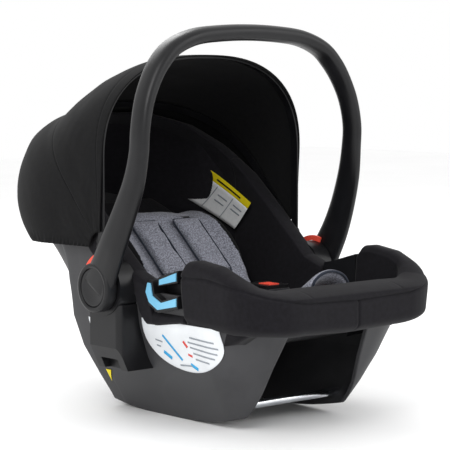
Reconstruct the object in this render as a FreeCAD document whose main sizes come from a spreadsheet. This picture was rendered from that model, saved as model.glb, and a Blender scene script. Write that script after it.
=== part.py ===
import FreeCAD, Part
import math
import os

# Infant carrier seat: a moulded bucket on two rocker skirts, a swinging carry handle,
# a folding canopy, padded covers and a five-point harness.
# Axes: +X to the child's left, -Y to the foot end, +Z up. Origin on the floor, mid-length.

os.makedirs("parts", exist_ok=True)
doc = FreeCAD.newDocument("InfantCarrier")
V = FreeCAD.Vector
X_AXIS = V(1, 0, 0)
Y_AXIS = V(0, 1, 0)

sizes = {
    "overallLength": 662, "overallWidth": 440, "overallHeight": 549,
    "shellWidth": 348, "rimHeight": 414, "shellWall": 5, "skirtGap": 166,
    "coverThickness": 7, "liningDepth": 24, "foamDepth": 14, "padThickness": 12,
    "fitGap": 0.3, "runningGap": 0.05,
    "hubForward": 35, "hubHeight": 189, "hubRadius": 34, "hubThickness": 19,
    "bossRadius": 39, "ringRadius": 47, "ringThickness": 3,
    "pivotRadius": 8, "pivotHeadRadius": 11, "pivotHeadThickness": 2.2,
    "buttonRadius": 26, "buttonThickness": 8, "buttonTravel": 3, "buttonRim": 1,
    "springRadius": 20, "springBore": 15, "springSheet": 0.8,
    "handleTopWidth": 36, "handleTopThickness": 23, "handleHubWidth": 58,
    "canopyForward": 10, "canopyHeight": 240, "canopyHalfWidth": 187.4, "canopyCrown": 267,
    "canopyCloth": 2.4, "bowThickness": 2.4, "bowWidth": 12, "bowEyeRadius": 8,
    "canopyPinRadius": 4, "midBowAngle": 48, "hemAngle": 6,
    "crossbarRadius": 6, "crossbarWall": 1.5,
    "frontBarForward": 179, "frontBarHeight": 28, "rearBarBack": 44, "rearBarHeight": 30,
    "housingLength": 62, "housingHeight": 92, "housingBottom": 74, "housingFace": 199.6,
    "webWidth": 38, "webThickness": 1.6, "shoulderSpacing": 80,
    "padWidth": 50, "shoulderPadThickness": 11, "crotchPadWidth": 78, "crotchPadLength": 60,
    "buckleWidth": 44, "buckleLength": 50, "buckleHeight": 16,
    "adjusterWidth": 46, "labelThickness": 0.8,
}

sheet = doc.addObject("Spreadsheet::Sheet", "Sizes")
for row, (alias, number) in enumerate(sizes.items(), start=1):
    sheet.set("A%d" % row, alias)
    sheet.set("B%d" % row, str(number))
    sheet.setAlias("B%d" % row, alias)
doc.recompute()


def size(alias):
    return float(getattr(sheet, alias))


gap = size("fitGap")
wall = size("shellWall")
hub = V(0, -size("hubForward"), size("hubHeight"))
canopyPivot = V(0, -size("canopyForward"), size("canopyHeight"))
headEnd = size("overallLength") / 2
outerFace = size("overallWidth") / 2
cover = size("coverThickness")
lining = size("liningDepth")
subparts = []

# The outlines are drawn for these nominal sizes and stretch with the driving sizes.
nominalHead = 331
nominalRim = 414
nominalHalfWidth = 174
stretchY = headEnd / nominalHead
stretchZ = size("rimHeight") / nominalRim
stretchX = size("shellWidth") / 2 / nominalHalfWidth


def interpolate(value, table):
    """Value between the rows of a table of pairs, straight between them."""
    for (low, first), (high, second) in zip(table, table[1:]):
        if value <= high:
            return first + (second - first) * (value - low) / (high - low)
    return table[-1][1]


def sidePoint(pair):
    """Point of a side outline (forward/back, height) on the centre plane."""
    return V(0, pair[0] * stretchY, pair[1] * stretchZ)


def outlineEdges(runs):
    """Edges through runs of points: a run of two is straight, a longer one is a smooth curve."""
    edges = []
    for run in runs:
        points = [sidePoint(pair) for pair in run]
        if len(points) == 2:
            edges.append(Part.LineSegment(*points).toShape())
        else:
            curve = Part.BSplineCurve()
            curve.interpolate(points)
            edges.append(curve.toShape())
    return edges


def sideSlab(runs, halfWidth=260, lift=0.0):
    """Closed side outline pushed out both ways along X."""
    face = Part.Face(Part.Wire(outlineEdges(runs)))
    slab = face.extrude(V(2 * halfWidth, 0, 0))
    slab.translate(V(-halfWidth, 0, lift))
    return slab


# Bucket plan: half width and rear reach at each height (height, value).
halfWidths = [(-12, 92), (16, 106), (50, 126), (90, 148), (135, 163), (185, 170), (225, 173),
              (250, 174), (285, 174), (325, 171), (368, 151), (400, 118), (432, 72)]
rearReaches = [(-12, 84), (16, 92), (50, 103), (90, 112), (135, 126), (185, 165), (225, 228),
               (250, 280), (285, 312), (325, 310), (368, 285), (400, 250), (432, 192)]
widestBack = 40
frontReach = 324
cornerRadius = 66
rearSquareness = 2.15
rearPoints = 10


def planWire(height, inset, ahead=frontReach, radius=cornerRadius):
    """Plan outline of the bucket at one height, moved in by inset: a flat front with round
    corners, straight sides and a superellipse for the rear."""
    half = interpolate(height, halfWidths) * stretchX - inset
    widest = widestBack * stretchY
    reach = (interpolate(height, rearReaches) - widestBack) * stretchY - inset
    front = -ahead * stretchY + inset
    corner = radius - inset
    z = height * stretchZ
    rear = []
    for k in range(rearPoints + 1):
        angle = math.pi * k / rearPoints
        across = math.copysign(abs(math.cos(angle)) ** (2 / rearSquareness), math.cos(angle))
        along = math.sin(angle) ** (2 / rearSquareness) if 0 < k < rearPoints else 0
        rear.append(V(half * across, widest + reach * along, z))
    curve = Part.BSplineCurve()
    curve.interpolate(Points=rear, InitialTangent=Y_AXIS, FinalTangent=-Y_AXIS)
    edges = [curve.toShape()]
    inner = corner * (1 - math.cos(math.pi / 4))
    stops = [V(-half, widest, z), V(-half, front + corner, z), V(-half + inner, front + inner, z),
             V(-half + corner, front, z), V(half - corner, front, z), V(half - inner, front + inner, z),
             V(half, front + corner, z), V(half, widest, z)]
    edges.append(Part.LineSegment(stops[0], stops[1]).toShape())
    edges.append(Part.Arc(stops[1], stops[2], stops[3]).toShape())
    edges.append(Part.LineSegment(stops[3], stops[4]).toShape())
    edges.append(Part.Arc(stops[4], stops[5], stops[6]).toShape())
    edges.append(Part.LineSegment(stops[6], stops[7]).toShape())
    return Part.Wire(edges)


bucketCache = {}


def bucket(inset):
    """Solid bucket form moved in (or out, when negative) by inset."""
    key = round(inset, 3)
    if key not in bucketCache:
        wires = [planWire(height, inset) for height, half in halfWidths]
        bucketCache[key] = Part.makeLoft(wires, True, True)
    return bucketCache[key].copy()


# Below the foot bar the front of the bucket falls back like a prow (height, value).
prowReaches = [(-12, 203), (16, 216), (50, 234), (90, 251), (135, 273), (185, 297)]
prowRadii = [(-12, 34), (16, 36), (50, 44), (90, 54), (135, 66), (185, 66)]
prowTop = 185


def prow(inset):
    """Solid form of the bucket's lower part, with the prow, moved in by inset."""
    wires = [planWire(height, inset, interpolate(height, prowReaches), interpolate(height, prowRadii))
             for height, half in halfWidths if height <= prowTop]
    return Part.makeLoft(wires, True, True)


def block(low, high):
    """Box between two corners."""
    corner = V(min(low[0], high[0]), min(low[1], high[1]), min(low[2], high[2]))
    return Part.makeBox(abs(high[0] - low[0]), abs(high[1] - low[1]), abs(high[2] - low[2]), corner)


def mirrored(shape):
    return shape.mirror(V(0, 0, 0), X_AXIS)


def feature(label, shape):
    """Free-form sub-part whose shape is worked out above from the sheet."""
    if shape.ShapeType in ("Compound", "CompSolid") and len(shape.Solids) == 1:
        shape = shape.Solids[0]
    item = doc.addObject("Part::Feature", label)
    item.Label = label
    item.Shape = shape
    item.Placement = FreeCAD.Placement()
    subparts.append(item)
    return item


def biggest(shape):
    """The largest solid of a boolean result, without its slivers."""
    return max(shape.Solids, key=lambda solid: solid.Volume)


# ---- side outlines (forward/back, height) ----
rim = [(300, 414), (190, 414), (146, 394), (90, 338), (45, 294), (-10, 247), (-62, 202), (-106, 186)]
rimFoot = [(-172, 186), (-176, 220), (-240, 219), (-292, 198), (-345, 190)]
rockerFront = [(-236, 36), (-218, 22), (-180, 11), (-130, 3), (-80, 0)]
rockerRear = [(0, 0), (35, 3), (70, 9), (120, 22)]
shellOutline = [
    rim[:2], rim[1:], [rim[-1], rimFoot[0]], rimFoot[:2], rimFoot[1:],
    [rimFoot[-1], (-345, 60)], [(-345, 60), rockerFront[0]], rockerFront,
    [rockerFront[-1], rockerRear[0]], rockerRear, [rockerRear[-1], (420, 120)],
    [(420, 120), (420, 414)], [(420, 414), rim[0]],
]
panLine = [(-345, 184), (-298, 181), (-272, 160), (-230, 136), (-180, 116), (-120, 100), (-60, 95),
           (-10, 112), (50, 155), (110, 202), (170, 240), (230, 271), (345, 330)]


def aboveSeat(lift):
    """Everything above the seat line raised by lift."""
    top = 520
    return sideSlab([panLine, [panLine[-1], (345, top)], [(345, top), (-345, top)],
                     [(-345, top), panLine[0]]], lift=lift)


def belowSeat(lift):
    """Everything below the seat line raised by lift."""
    low = -60
    return sideSlab([panLine, [panLine[-1], (345, low)], [(345, low), (-345, low)],
                     [(-345, low), panLine[0]]], lift=lift)


# ---- moulded shell ----
def walledForm(outer, inner):
    """Wall of the bucket with its pan, between an outer and an inner form."""
    walls = outer.common(sideSlab(shellOutline))
    walls = walls.cut(inner.common(aboveSeat(0)))
    return walls.cut(inner.common(belowSeat(-wall)))


footBarBottom = 150 * stretchZ
lowFront = block((-260, -400 * stretchY, -30), (260, -95 * stretchY, footBarBottom))
skirtHalfGap = size("skirtGap") / 2
archLow = (-skirtHalfGap, -345 * stretchY, -20)
archHigh = (skirtHalfGap, 66 * stretchY, 60)
shell = walledForm(bucket(0), bucket(wall)).cut(lowFront)
shell = shell.fuse(walledForm(prow(0), prow(wall)).common(lowFront))
# The underside of the foot bar runs back to the prow.
underside = bucket(1).common(block((-260, -400 * stretchY, footBarBottom), (260, -250 * stretchY, footBarBottom + 3)))
shell = shell.fuse(underside.cut(prow(2.5)))
shell = shell.cut(block(archLow, archHigh))
archShape = [(-94, -30), (-92, 18), (-74, 132), (74, 132), (92, 18), (94, -30)]
archPoints3d = [V(x * stretchX, -345 * stretchY, z * stretchZ) for x, z in archShape + archShape[:1]]
footArch = Part.Face(Part.makePolygon(archPoints3d)).extrude(V(0, 160 * stretchY, 0))
shell = biggest(shell.cut(footArch))

# ---- steel crossbars pushed into the skirts ----


def halfWidthAt(height):
    """Half width of the bucket's outside at a height, in millimetres."""
    return interpolate(height / stretchZ, halfWidths) * stretchX


def addTube(label, y, z, reach):
    """Steel tube along X as a cut of two bound cylinders."""
    outer = doc.addObject("Part::Cylinder", label + "Outer")
    inner = doc.addObject("Part::Cylinder", label + "Bore")
    outer.setExpression("Radius", "Sizes.crossbarRadius")
    inner.setExpression("Radius", "Sizes.crossbarRadius - Sizes.crossbarWall")
    for item in (outer, inner):
        item.Height = 2 * reach
        item.Placement = FreeCAD.Placement(V(-reach, y, z), FreeCAD.Rotation(Y_AXIS, 90))
    tube = doc.addObject("Part::Cut", label)
    tube.Base = outer
    tube.Tool = inner
    tube.Label = label
    subparts.append(tube)


barRadius = size("crossbarRadius")
bars = [("front_crossbar", -size("frontBarForward") * stretchY, size("frontBarHeight") * stretchZ),
        ("rear_crossbar", size("rearBarBack") * stretchY, size("rearBarHeight") * stretchZ)]
for label, y, z in bars:
    reach = halfWidthAt(z - barRadius) - 1
    socket = Part.makeCylinder(barRadius, 2 * reach, V(-reach, y, z), X_AXIS)
    shell = shell.cut(socket)
    addTube(label, y, z, reach)

# ---- hub bosses, lock rings and handle pivots ----
bossFace = outerFace - size("hubThickness") - 2 * gap
bossInside = 120
bossCut = bucket(0)


def alongX(radius, start, end, centre):
    return Part.makeCylinder(radius, end - start, V(start, centre.y, centre.z), X_AXIS)


shaftStart = 150
shaftRadius = size("pivotRadius")
boss = alongX(size("bossRadius"), bossInside, bossFace, hub).cut(bossCut)
boss = biggest(boss).cut(alongX(shaftRadius, bossInside, bossFace + 1, hub))
shaftHole = alongX(shaftRadius, shaftStart, bossFace, hub)
ringInner = size("bossRadius") + gap
ringSweep = 120
ringStart = 80
ringBack = bossFace - size("ringThickness")

# ---- adapter housings under the hubs ----
housingRear = hub.y + size("housingLength") / 2
housingFront = hub.y - size("housingLength") / 2 - 3
housingTop = size("housingBottom") + size("housingHeight")
housing = block((bossInside, housingFront, size("housingBottom")),
                (size("housingFace"), housingRear, housingTop))
frontEdges = [edge for edge in housing.Edges if abs(edge.CenterOfMass.y - housingFront) < 1
              and abs(edge.CenterOfMass.x - size("housingFace")) < 1]
housing = housing.makeFillet(8, frontEdges)
chamferDepth = 16
wedge = Part.Face(Part.makePolygon([
    V(size("housingFace") + 1, housingRear + 1, size("housingBottom") - 1),
    V(size("housingFace") - chamferDepth, housingRear + 1, size("housingBottom") - 1),
    V(size("housingFace") + 1, housingRear + 1, size("housingBottom") + 34),
    V(size("housingFace") + 1, housingRear + 1, size("housingBottom") - 1)]))
housing = housing.cut(wedge.extrude(V(0, -80, 0)))
socketWall = 4
adapterSlot = block((176, housingFront + 14, size("housingBottom") - 1),
                    (size("housingFace") - socketWall - 4, housingRear - 14, housingTop - 30))
housing = housing.cut(adapterSlot).cut(alongX(size("bossRadius") + gap, bossInside, 230, hub))
housing = biggest(housing.cut(bucket(-gap)))

# ---- belt guides in the rim notches ----
guideOuter = [(-107, 204), (-102, 186), (-110, 170), (-130, 161), (-171, 170), (-171, 221), (-136, 210)]
lowerJaw = [(-107, 204), (-102, 186), (-110, 170), (-130, 161), (-171, 170), (-171, 187), (-138, 178),
            (-122, 186), (-118, 204)]
upperJaw = [(-130, 208), (-130, 197), (-171, 205), (-171, 221), (-136, 211)]
guideFace = 180 * stretchX
guidePlate = 152 * stretchX


def prism(pairs, start, end):
    """Straight-sided outline in the side view, from one X to another."""
    points = [sidePoint(pair) + V(start, 0, 0) for pair in pairs]
    return Part.Face(Part.makePolygon(points + points[:1])).extrude(V(end - start, 0, 0))


guide = prism(guideOuter, guidePlate, guidePlate + 4)
guide = guide.fuse([prism(lowerJaw, guidePlate, guideFace), prism(upperJaw, guidePlate, guideFace)])
guide = guide.removeSplitter()
inlayThickness = 1.6
upperInlayOutline = [(-134, 206), (-134, 199), (-169, 207), (-169, 218)]
lowerInlayOutline = [(-109, 200), (-105, 187), (-112, 174), (-130, 165), (-169, 173), (-169, 184),
                     (-137, 175), (-119, 183), (-115, 200)]
upperInlay = prism(upperInlayOutline, guideFace + gap / 3, guideFace + inlayThickness)
lowerInlay = prism(lowerInlayOutline, guideFace + gap / 3, guideFace + inlayThickness)

# ---- cover blank: wraps the rim and lines the bucket ----
shellZone = bucket(-gap).common(sideSlab(shellOutline, lift=gap))
shellZone = shellZone.cut(bucket(wall + gap).common(aboveSeat(gap)))
hollow = bucket(lining).common(aboveSeat(0)).common(block((-260, -274 * stretchY, 60), (260, 400, 520)))
coverTop = [(300, 421), (188, 421), (140, 402), (84, 346), (38, 302), (-16, 255), (-66, 212), (-104, 200)]
coverFoot = [(-174, 212), (-190, 236), (-240, 232), (-296, 206), (-345, 199)]
coverHem = [(-345, 137), (-300, 140), (-262, 147), (-215, 154), (-175, 150), (-112, 140), (-88, 139)]
coverOutline = [
    coverTop[:2], coverTop[1:], [coverTop[-1], (-104, 160)], [(-104, 160), (-174, 160)],
    [(-174, 160), coverFoot[0]], coverFoot, [coverFoot[-1], coverHem[0]], coverHem,
    [coverHem[-1], (-80, 176), (-30, 196), (20, 226), (70, 280), (110, 322), (160, 356), (230, 380)],
    [(230, 380), (420, 380)], [(420, 380), (420, 421)], [(420, 421), coverTop[0]],
]
insideCover = [
    coverTop[:2], coverTop[1:], [coverTop[-1], (-104, 160)], [(-104, 160), (-174, 160)],
    [(-174, 160), coverFoot[0]], coverFoot, [coverFoot[-1], (-345, 60)], [(-345, 60), (420, 60)],
    [(420, 60), (420, 421)], [(420, 421), coverTop[0]],
]
outerWrap = bucket(-cover).common(sideSlab(coverOutline)).cut(shellZone).cut(hollow)
innerWrap = bucket(wall + gap).common(sideSlab(insideCover)).common(aboveSeat(gap)).cut(hollow)
coverBlank = outerWrap.fuse(innerWrap)
bossClear = alongX(size("bossRadius") + gap, 100, 240, hub)
housingClear = block((120, housingFront - gap, size("housingBottom") - gap),
                     (240, housingRear + gap, housingTop + gap))
coverBlank = coverBlank.cut([bossClear, mirrored(bossClear)])
coverBlank = coverBlank.cut([housingClear.cut(bucket(0)), mirrored(housingClear.cut(bucket(0)))])
# The canopy bows lie flat against the cover, which is never wider than this beside them.
bowBed = size("canopyHalfWidth") - size("canopyCloth") - 2 * size("bowThickness") - 3 * gap
bowBlock = block((bowBed, -100 * stretchY, 215 * stretchZ), (260, 420, 520))
coverBlank = coverBlank.cut([bowBlock, mirrored(bowBlock)])
footSplit = -174 * stretchY
headSplit = 90 * stretchY
far = 500
footCover = coverBlank.common(block((-far, -far, -far), (far, footSplit - gap / 2, far)))
# The foot bar is lower in the middle than at its corners.
barDip = block((-112 * stretchX, -far, 194.5 * stretchZ), (112 * stretchX, -262 * stretchY, far))
footCover = biggest(footCover.cut(barDip))
sideCover = biggest(coverBlank.common(block((1, footSplit + gap / 2, -far), (far, headSplit - gap / 2, far))))
headBlank = coverBlank.common(block((-far, headSplit + gap / 2, -far), (far, far, far)))
foamInside = size("foamDepth")
foam = bucket(wall + gap).cut(bucket(foamInside)).common(aboveSeat(gap))
foam = foam.common(block((-far, headSplit + 12, -far), (far, far, 392 * stretchZ)))
foam = biggest(foam)
foamClear = bucket(wall - 1).cut(bucket(foamInside + gap)).common(
    block((-far, headSplit + 12 - gap, -far), (far, far, 392 * stretchZ + gap)))
headCover = biggest(headBlank.cut(foamClear.common(bucket(wall + gap / 2))))

# ---- seat pad on the pan, and the infant insert on it ----
padTop = size("padThickness")
seatPad = bucket(lining + gap).common(aboveSeat(2 * gap)).cut(aboveSeat(padTop / math.cos(math.radians(35))))
seatPad = seatPad.common(block((-far, -258 * stretchY, 0), (far, 236 * stretchY, far)))
seatPad = biggest(seatPad)
insertInset = lining + 10
insertHalf = 104 * stretchX
insertLift = padTop / math.cos(math.radians(35)) + gap
insertTop = [(-136, 127), (-100, 124), (-62, 127), (-34, 148), (-14, 174), (24, 220), (56, 249), (88, 267),
             (120, 273), (146, 266), (160, 244)]
insertSlab = sideSlab([insertTop, [insertTop[-1], (160, 60)], [(160, 60), (-136, 60)],
                       [(-136, 60), insertTop[0]]], halfWidth=insertHalf)
insert = bucket(insertInset).common(aboveSeat(insertLift)).common(insertSlab)
bedSlope = math.degrees(math.atan2(stretchZ * 0.9, stretchY))
bedStart = sidePoint((-39, 144.6))
bedHalf = 86 * stretchX
bed = Part.makeBox(2 * bedHalf, 400, 200, V(-bedHalf, 0, 0))
bed = bed.makeFillet(18, [edge for edge in bed.Edges if abs(edge.CenterOfMass.z) < 0.1
                          and abs(edge.CenterOfMass.x) > 1])
bed.rotate(V(0, 0, 0), X_AXIS, bedSlope)
bed.translate(bedStart)
insert = biggest(insert.cut(bed))

# ---- harness ----
shoulderX = size("shoulderSpacing") / 2
# From the yoke behind the back, through the slots, down the bed of the insert to the tongues.
strapPath = [(185.7, 232), (92, 263.2), (-3, 177.7), (-22, 173), (-105.7, 177)]


def ribbon(pairs, thickness, width, centreX, rise=0.0):
    """Flat webbing along straight runs in the side view."""
    points = [V(0, y * stretchY, z * stretchZ + rise) for y, z in pairs]
    upper = []
    for k, point in enumerate(points):
        before = points[max(k - 1, 0)]
        after = points[min(k + 1, len(points) - 1)]
        along = (after - before).normalize()
        upper.append(point + V(0, -along.z, along.y) * -thickness)
    outline = points + upper[::-1] + points[:1]
    band = Part.Face(Part.makePolygon([p + V(centreX - width / 2, 0, 0) for p in outline]))
    return band.extrude(V(width, 0, 0))


webWidth = size("webWidth")
web = size("webThickness")
strap = ribbon(strapPath, web, webWidth, shoulderX)
strapClear = ribbon(strapPath, web + 3 * gap, webWidth + 2 * gap, shoulderX, -1.5 * gap)
padLift = (web + gap) / math.cos(math.radians(bedSlope))
shoulderPad = ribbon([(84, 256), (3, 183.1)], size("shoulderPadThickness"), size("padWidth"), shoulderX, padLift)
padSlots = [strapClear, mirrored(strapClear)]
insert = biggest(insert.cut(padSlots))
buckleRear = -122 * stretchY
buckleFront = buckleRear - size("buckleLength")
buckleBase = 172 * stretchZ
crotchPath = [(-226, 136.5), (-225, 146), (-190, 172), (-173.4, 183.5)]
crotchStrap = ribbon(crotchPath, web, webWidth, 0)
crotchSlot = block((-webWidth / 2 - gap, -227 * stretchY, 120), (webWidth / 2 + gap, -210 * stretchY, 170))
# The pad is an arched tongue over the strap: its tip leans on the foot bar, its tail on the strap.
crotchHalf = size("crotchPadWidth") / 2
crotchRise = 28
crotchPadThickness = 11
crotchSlope = math.radians(36)
crotchTip = V(0, -273.6 * stretchY, 193 * stretchZ)
crotchRun = V(0, math.cos(crotchSlope), -math.sin(crotchSlope)) * size("crotchPadLength")


def archFace(halfWidth, rise):
    """Half ellipse standing on the tip of the crotch pad."""
    ends = [crotchTip + V(halfWidth, 0, 0), crotchTip - V(halfWidth, 0, 0)]
    if halfWidth > rise:
        oval = Part.Ellipse(ends[0], crotchTip + V(0, 0, rise), crotchTip)
    else:
        oval = Part.Ellipse(crotchTip + V(0, 0, rise), ends[0], crotchTip)
    whole = Part.Face(Part.Wire(oval.toShape()))
    upper = block((-100, crotchTip.y - 1, crotchTip.z), (100, crotchTip.y + 1, crotchTip.z + 100))
    return whole.common(upper)


crotchPad = archFace(crotchHalf, crotchRise).extrude(crotchRun)
crotchInside = archFace(crotchHalf - crotchPadThickness, crotchRise - crotchPadThickness)
crotchPad = biggest(crotchPad.cut(crotchInside.extrude(crotchRun)))

# ---- harness adjuster: on the front of the pan, its strap runs under the pan to the yoke ----
adjusterFront = -264 * stretchY
adjusterLength = 32
adjusterTop = 166 * stretchZ
adjusterHalf = size("adjusterWidth") / 2
adjusterHole = 10
strapRise = adjusterFront + 18
adjuster = block((-adjusterHalf, adjusterFront, 100), (adjusterHalf, adjusterFront + adjusterLength, adjusterTop))
adjuster = adjuster.common(aboveSeat(gap))
adjusterPocket = block((-14 - gap, adjusterFront + 6 - gap, adjusterTop - adjusterHole),
                       (14 + gap, adjusterFront + 24 + gap, adjusterTop + 20))
adjuster = biggest(adjuster.cut(adjusterPocket))
adjusterClear = block((-adjusterHalf - gap, adjusterFront - gap, 100),
                      (adjusterHalf + gap, adjusterFront + adjusterLength + gap, 200))
yokeFront = 186 * stretchY
yoke = block((-64, yokeFront + 0.5, 214 * stretchZ), (64, yokeFront + 4.5, 238 * stretchZ))
underPan = belowSeat(-wall - gap).cut(belowSeat(-wall - gap - web))
adjusterStrap = underPan.common(block((-webWidth / 2, strapRise, 0), (webWidth / 2, yokeFront - gap, 400)))
riser = block((-webWidth / 2, strapRise, 60), (webWidth / 2, strapRise + web, 400))
riser = riser.cut(belowSeat(-wall - gap - web / 2)).cut(aboveSeat(0))
adjusterStrap = biggest(adjusterStrap.fuse(riser).removeSplitter())
riserSlot = block((-webWidth / 2 - gap, strapRise - gap, 60),
                  (webWidth / 2 + gap, strapRise + web + gap, 200))
seatPad = biggest(seatPad.cut(padSlots + [crotchSlot, adjusterClear, sideCover, mirrored(sideCover)]))
shell = shell.cut(padSlots + [riserSlot])

# ---- canopy: bows, pins and cloth ----
canopyHalf = size("canopyHalfWidth")
cloth = size("canopyCloth")
bow = size("bowThickness")
bowStraight = 118
bowSquareness = 2.45
crownByAngle = [(-2, 331), (6, 342.5), (14, 346), (22, 342), (30, 333), (38, 300), (43, 278),
                (48, 267), (58, 263), (68, 262), (79, 264), (86, 267), (96, 267)]
crownRatio = size("canopyCrown") / 267
rearRatio = (headEnd + size("canopyForward")) / 340.1


def archPoints(halfWidth, crownReach, startReach, step=9):
    """Right half to left half of an arch in (across, out from the pivot)."""
    points = [(halfWidth, startReach)]
    for k in range(step * 2 + 1):
        angle = math.pi * k / (step * 2)
        across = math.copysign(abs(math.cos(angle)) ** (2 / bowSquareness), math.cos(angle))
        out = abs(math.sin(angle)) ** (2 / bowSquareness)
        points.append((halfWidth * across, bowStraight + (crownReach - bowStraight) * out))
    points.append((-halfWidth, startReach))
    return points


def inPlane(pair, angle):
    """Point across and out from the canopy pivot at an angle above horizontal."""
    turn = math.radians(angle)
    return canopyPivot + V(pair[0], pair[1] * math.cos(turn), pair[1] * math.sin(turn))


def curveThrough(pairs, angle):
    points = [inPlane(pair, angle) for pair in pairs]
    leg = Part.LineSegment(points[0], points[1]).toShape()
    arch = Part.BSplineCurve()
    arch.interpolate(points[1:-1])
    otherLeg = Part.LineSegment(points[-2], points[-1]).toShape()
    return [leg, arch.toShape(), otherLeg]


def bandWire(halfWidth, crownReach, thickness, startReach, angle):
    """Closed band between an arch and the same arch moved in by the thickness."""
    outer = archPoints(halfWidth, crownReach, startReach)
    inner = archPoints(halfWidth - thickness, crownReach - thickness, startReach)
    edges = curveThrough(outer, angle)
    edges.append(Part.LineSegment(inPlane(outer[-1], angle), inPlane(inner[-1], angle)).toShape())
    edges += curveThrough(inner, angle)[::-1]
    edges.append(Part.LineSegment(inPlane(inner[0], angle), inPlane(outer[0], angle)).toShape())
    return Part.Wire(Part.__sortEdges__(edges))


def clothPanel(angles, startReach=20):
    """Curved cloth panel through arches at several angles."""
    wires = []
    for angle in angles:
        rearShare = min(max((48 - angle) / 18, 0), 1)
        ratio = crownRatio + (rearRatio - crownRatio) * rearShare
        crownReach = interpolate(angle, crownByAngle) * ratio
        wires.append(bandWire(canopyHalf, crownReach, cloth, startReach, angle))
    return Part.makeLoft(wires, True, False)


def bowStrip(halfWidth, crownReach, angle):
    """Flat bow bent to the arch, with an eye at each end round the canopy pin."""
    face = Part.Face(bandWire(halfWidth, crownReach, bow, 0.0, angle))
    turn = math.radians(angle)
    across = V(0, -math.sin(turn), math.cos(turn))
    strip = face.extrude(across * size("bowWidth"))
    strip.translate(across * (-size("bowWidth") / 2))
    for side in (1, -1):
        start = V(side * halfWidth if side < 0 else halfWidth - bow, canopyPivot.y, canopyPivot.z)
        strip = strip.fuse(Part.makeCylinder(size("bowEyeRadius"), bow, start, X_AXIS))
    hole = alongX(size("canopyPinRadius") + size("runningGap"), -far, far, canopyPivot)
    return biggest(strip.removeSplitter().cut(hole))


frontCrown = size("canopyCrown")
bowClear = cloth + gap
frontBow = bowStrip(canopyHalf - bowClear, frontCrown - bowClear, 90)
midBow = bowStrip(canopyHalf - bowClear - bow - gap, frontCrown - bowClear - bow - gap, size("midBowAngle"))
hemHalf = size("hemAngle") / 2
hem = clothPanel([90 - hemHalf, 90, 90 + hemHalf])
gapAngle = 0.15
frontPanel = clothPanel([size("midBowAngle") + gapAngle, 56, 64, 72, 79, 90 - hemHalf - gapAngle])
rearPanel = clothPanel([-2, 4, 10, 18, 26, 34, 41, size("midBowAngle") - gapAngle])
pinStart = 160
pin = alongX(size("canopyPinRadius"), pinStart, canopyHalf - bowClear + gap, canopyPivot)
pinHead = alongX(size("canopyPinRadius") + 3, canopyHalf - bowClear + gap, canopyHalf, canopyPivot)
pin = pin.fuse(pinHead).removeSplitter()
pinHole = alongX(size("canopyPinRadius"), pinStart, canopyHalf - 12, canopyPivot)
pinClear = alongX(size("canopyPinRadius") + gap, pinStart, canopyHalf, canopyPivot)

# ---- carry handle ----
# Half path from the hub to the middle of the grip: across, forward/back, height, width, thickness.
top = size("overallHeight") - size("handleTopThickness") / 2
armX = outerFace - size("hubThickness") / 2
rise = (top - hub.z) / 348.5
handlePath = [
    (armX, -35, 0, 1.0, 0.80), (armX, -45, 28, 0.98, 0.80), (armX, -60, 60, 0.95, 0.78),
    (armX - 3, -79, 98, 0.86, 0.76), (armX - 8, -98, 143, 0.72, 0.76), (armX - 11, -108, 184, 0.50, 0.78),
    (armX - 12, -111, 216, 0.30, 0.80), (armX - 19, -112, 251, 0.10, 0.86), (armX - 32, -112, 281, 0.0, 0.92),
    (armX - 49, -111, 306, 0.0, 0.98), (armX - 73, -110, 327, 0.0, 1.0), (armX - 110, -109, 341, 0.0, 1.0),
    (armX - 155, -109, 346.5, 0.0, 1.0), (0, -109, 348.5, 0.0, 1.0),
]
handleSquareness = 2.5
handleForward = hub.y + 35


def handleSections():
    """Places, widths and thicknesses along the whole handle, from right to left."""
    left = [(x, y, z, flare, thick) for x, y, z, flare, thick in handlePath]
    right = [(-x, y, z, flare, thick) for x, y, z, flare, thick in handlePath[:-1]]
    rows = right + left[::-1]
    topWidth, hubWidth = size("handleTopWidth"), size("handleHubWidth")
    thickness = size("handleTopThickness")
    result = []
    for x, y, z, flare, thick in rows:
        place = V(x, y + handleForward, hub.z + z * rise)
        result.append((place, topWidth + (hubWidth - topWidth) * flare, thickness * thick))
    return result


def handleSolid():
    rows = handleSections()
    heart = V(0, hub.y - 60, hub.z + 150)
    wires = []
    for k, (place, width, thickness) in enumerate(rows):
        before = rows[max(k - 1, 0)][0]
        after = rows[min(k + 1, len(rows) - 1)][0]
        along = (after - before).normalize()
        outward = place - heart
        outward = outward - along * outward.dot(along)
        outward.x, outward.y = outward.x, outward.y * 0.15
        if place.z - hub.z < 130:
            outward = V(math.copysign(1, place.x), 0, 0)
        outward = (outward - along * outward.dot(along)).normalize()
        across = along.cross(outward)
        points = []
        for j in range(16):
            angle = 2 * math.pi * j / 16
            c, s = math.cos(angle), math.sin(angle)
            u = math.copysign(abs(c) ** (2 / handleSquareness), c) * thickness / 2
            v = math.copysign(abs(s) ** (2 / handleSquareness), s) * width / 2
            points.append(place + outward * u + across * v)
        curve = Part.BSplineCurve()
        curve.interpolate(Points=points, PeriodicFlag=True)
        wires.append(Part.Wire(curve.toShape()))
    return Part.makeLoft(wires, True, False)


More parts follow.
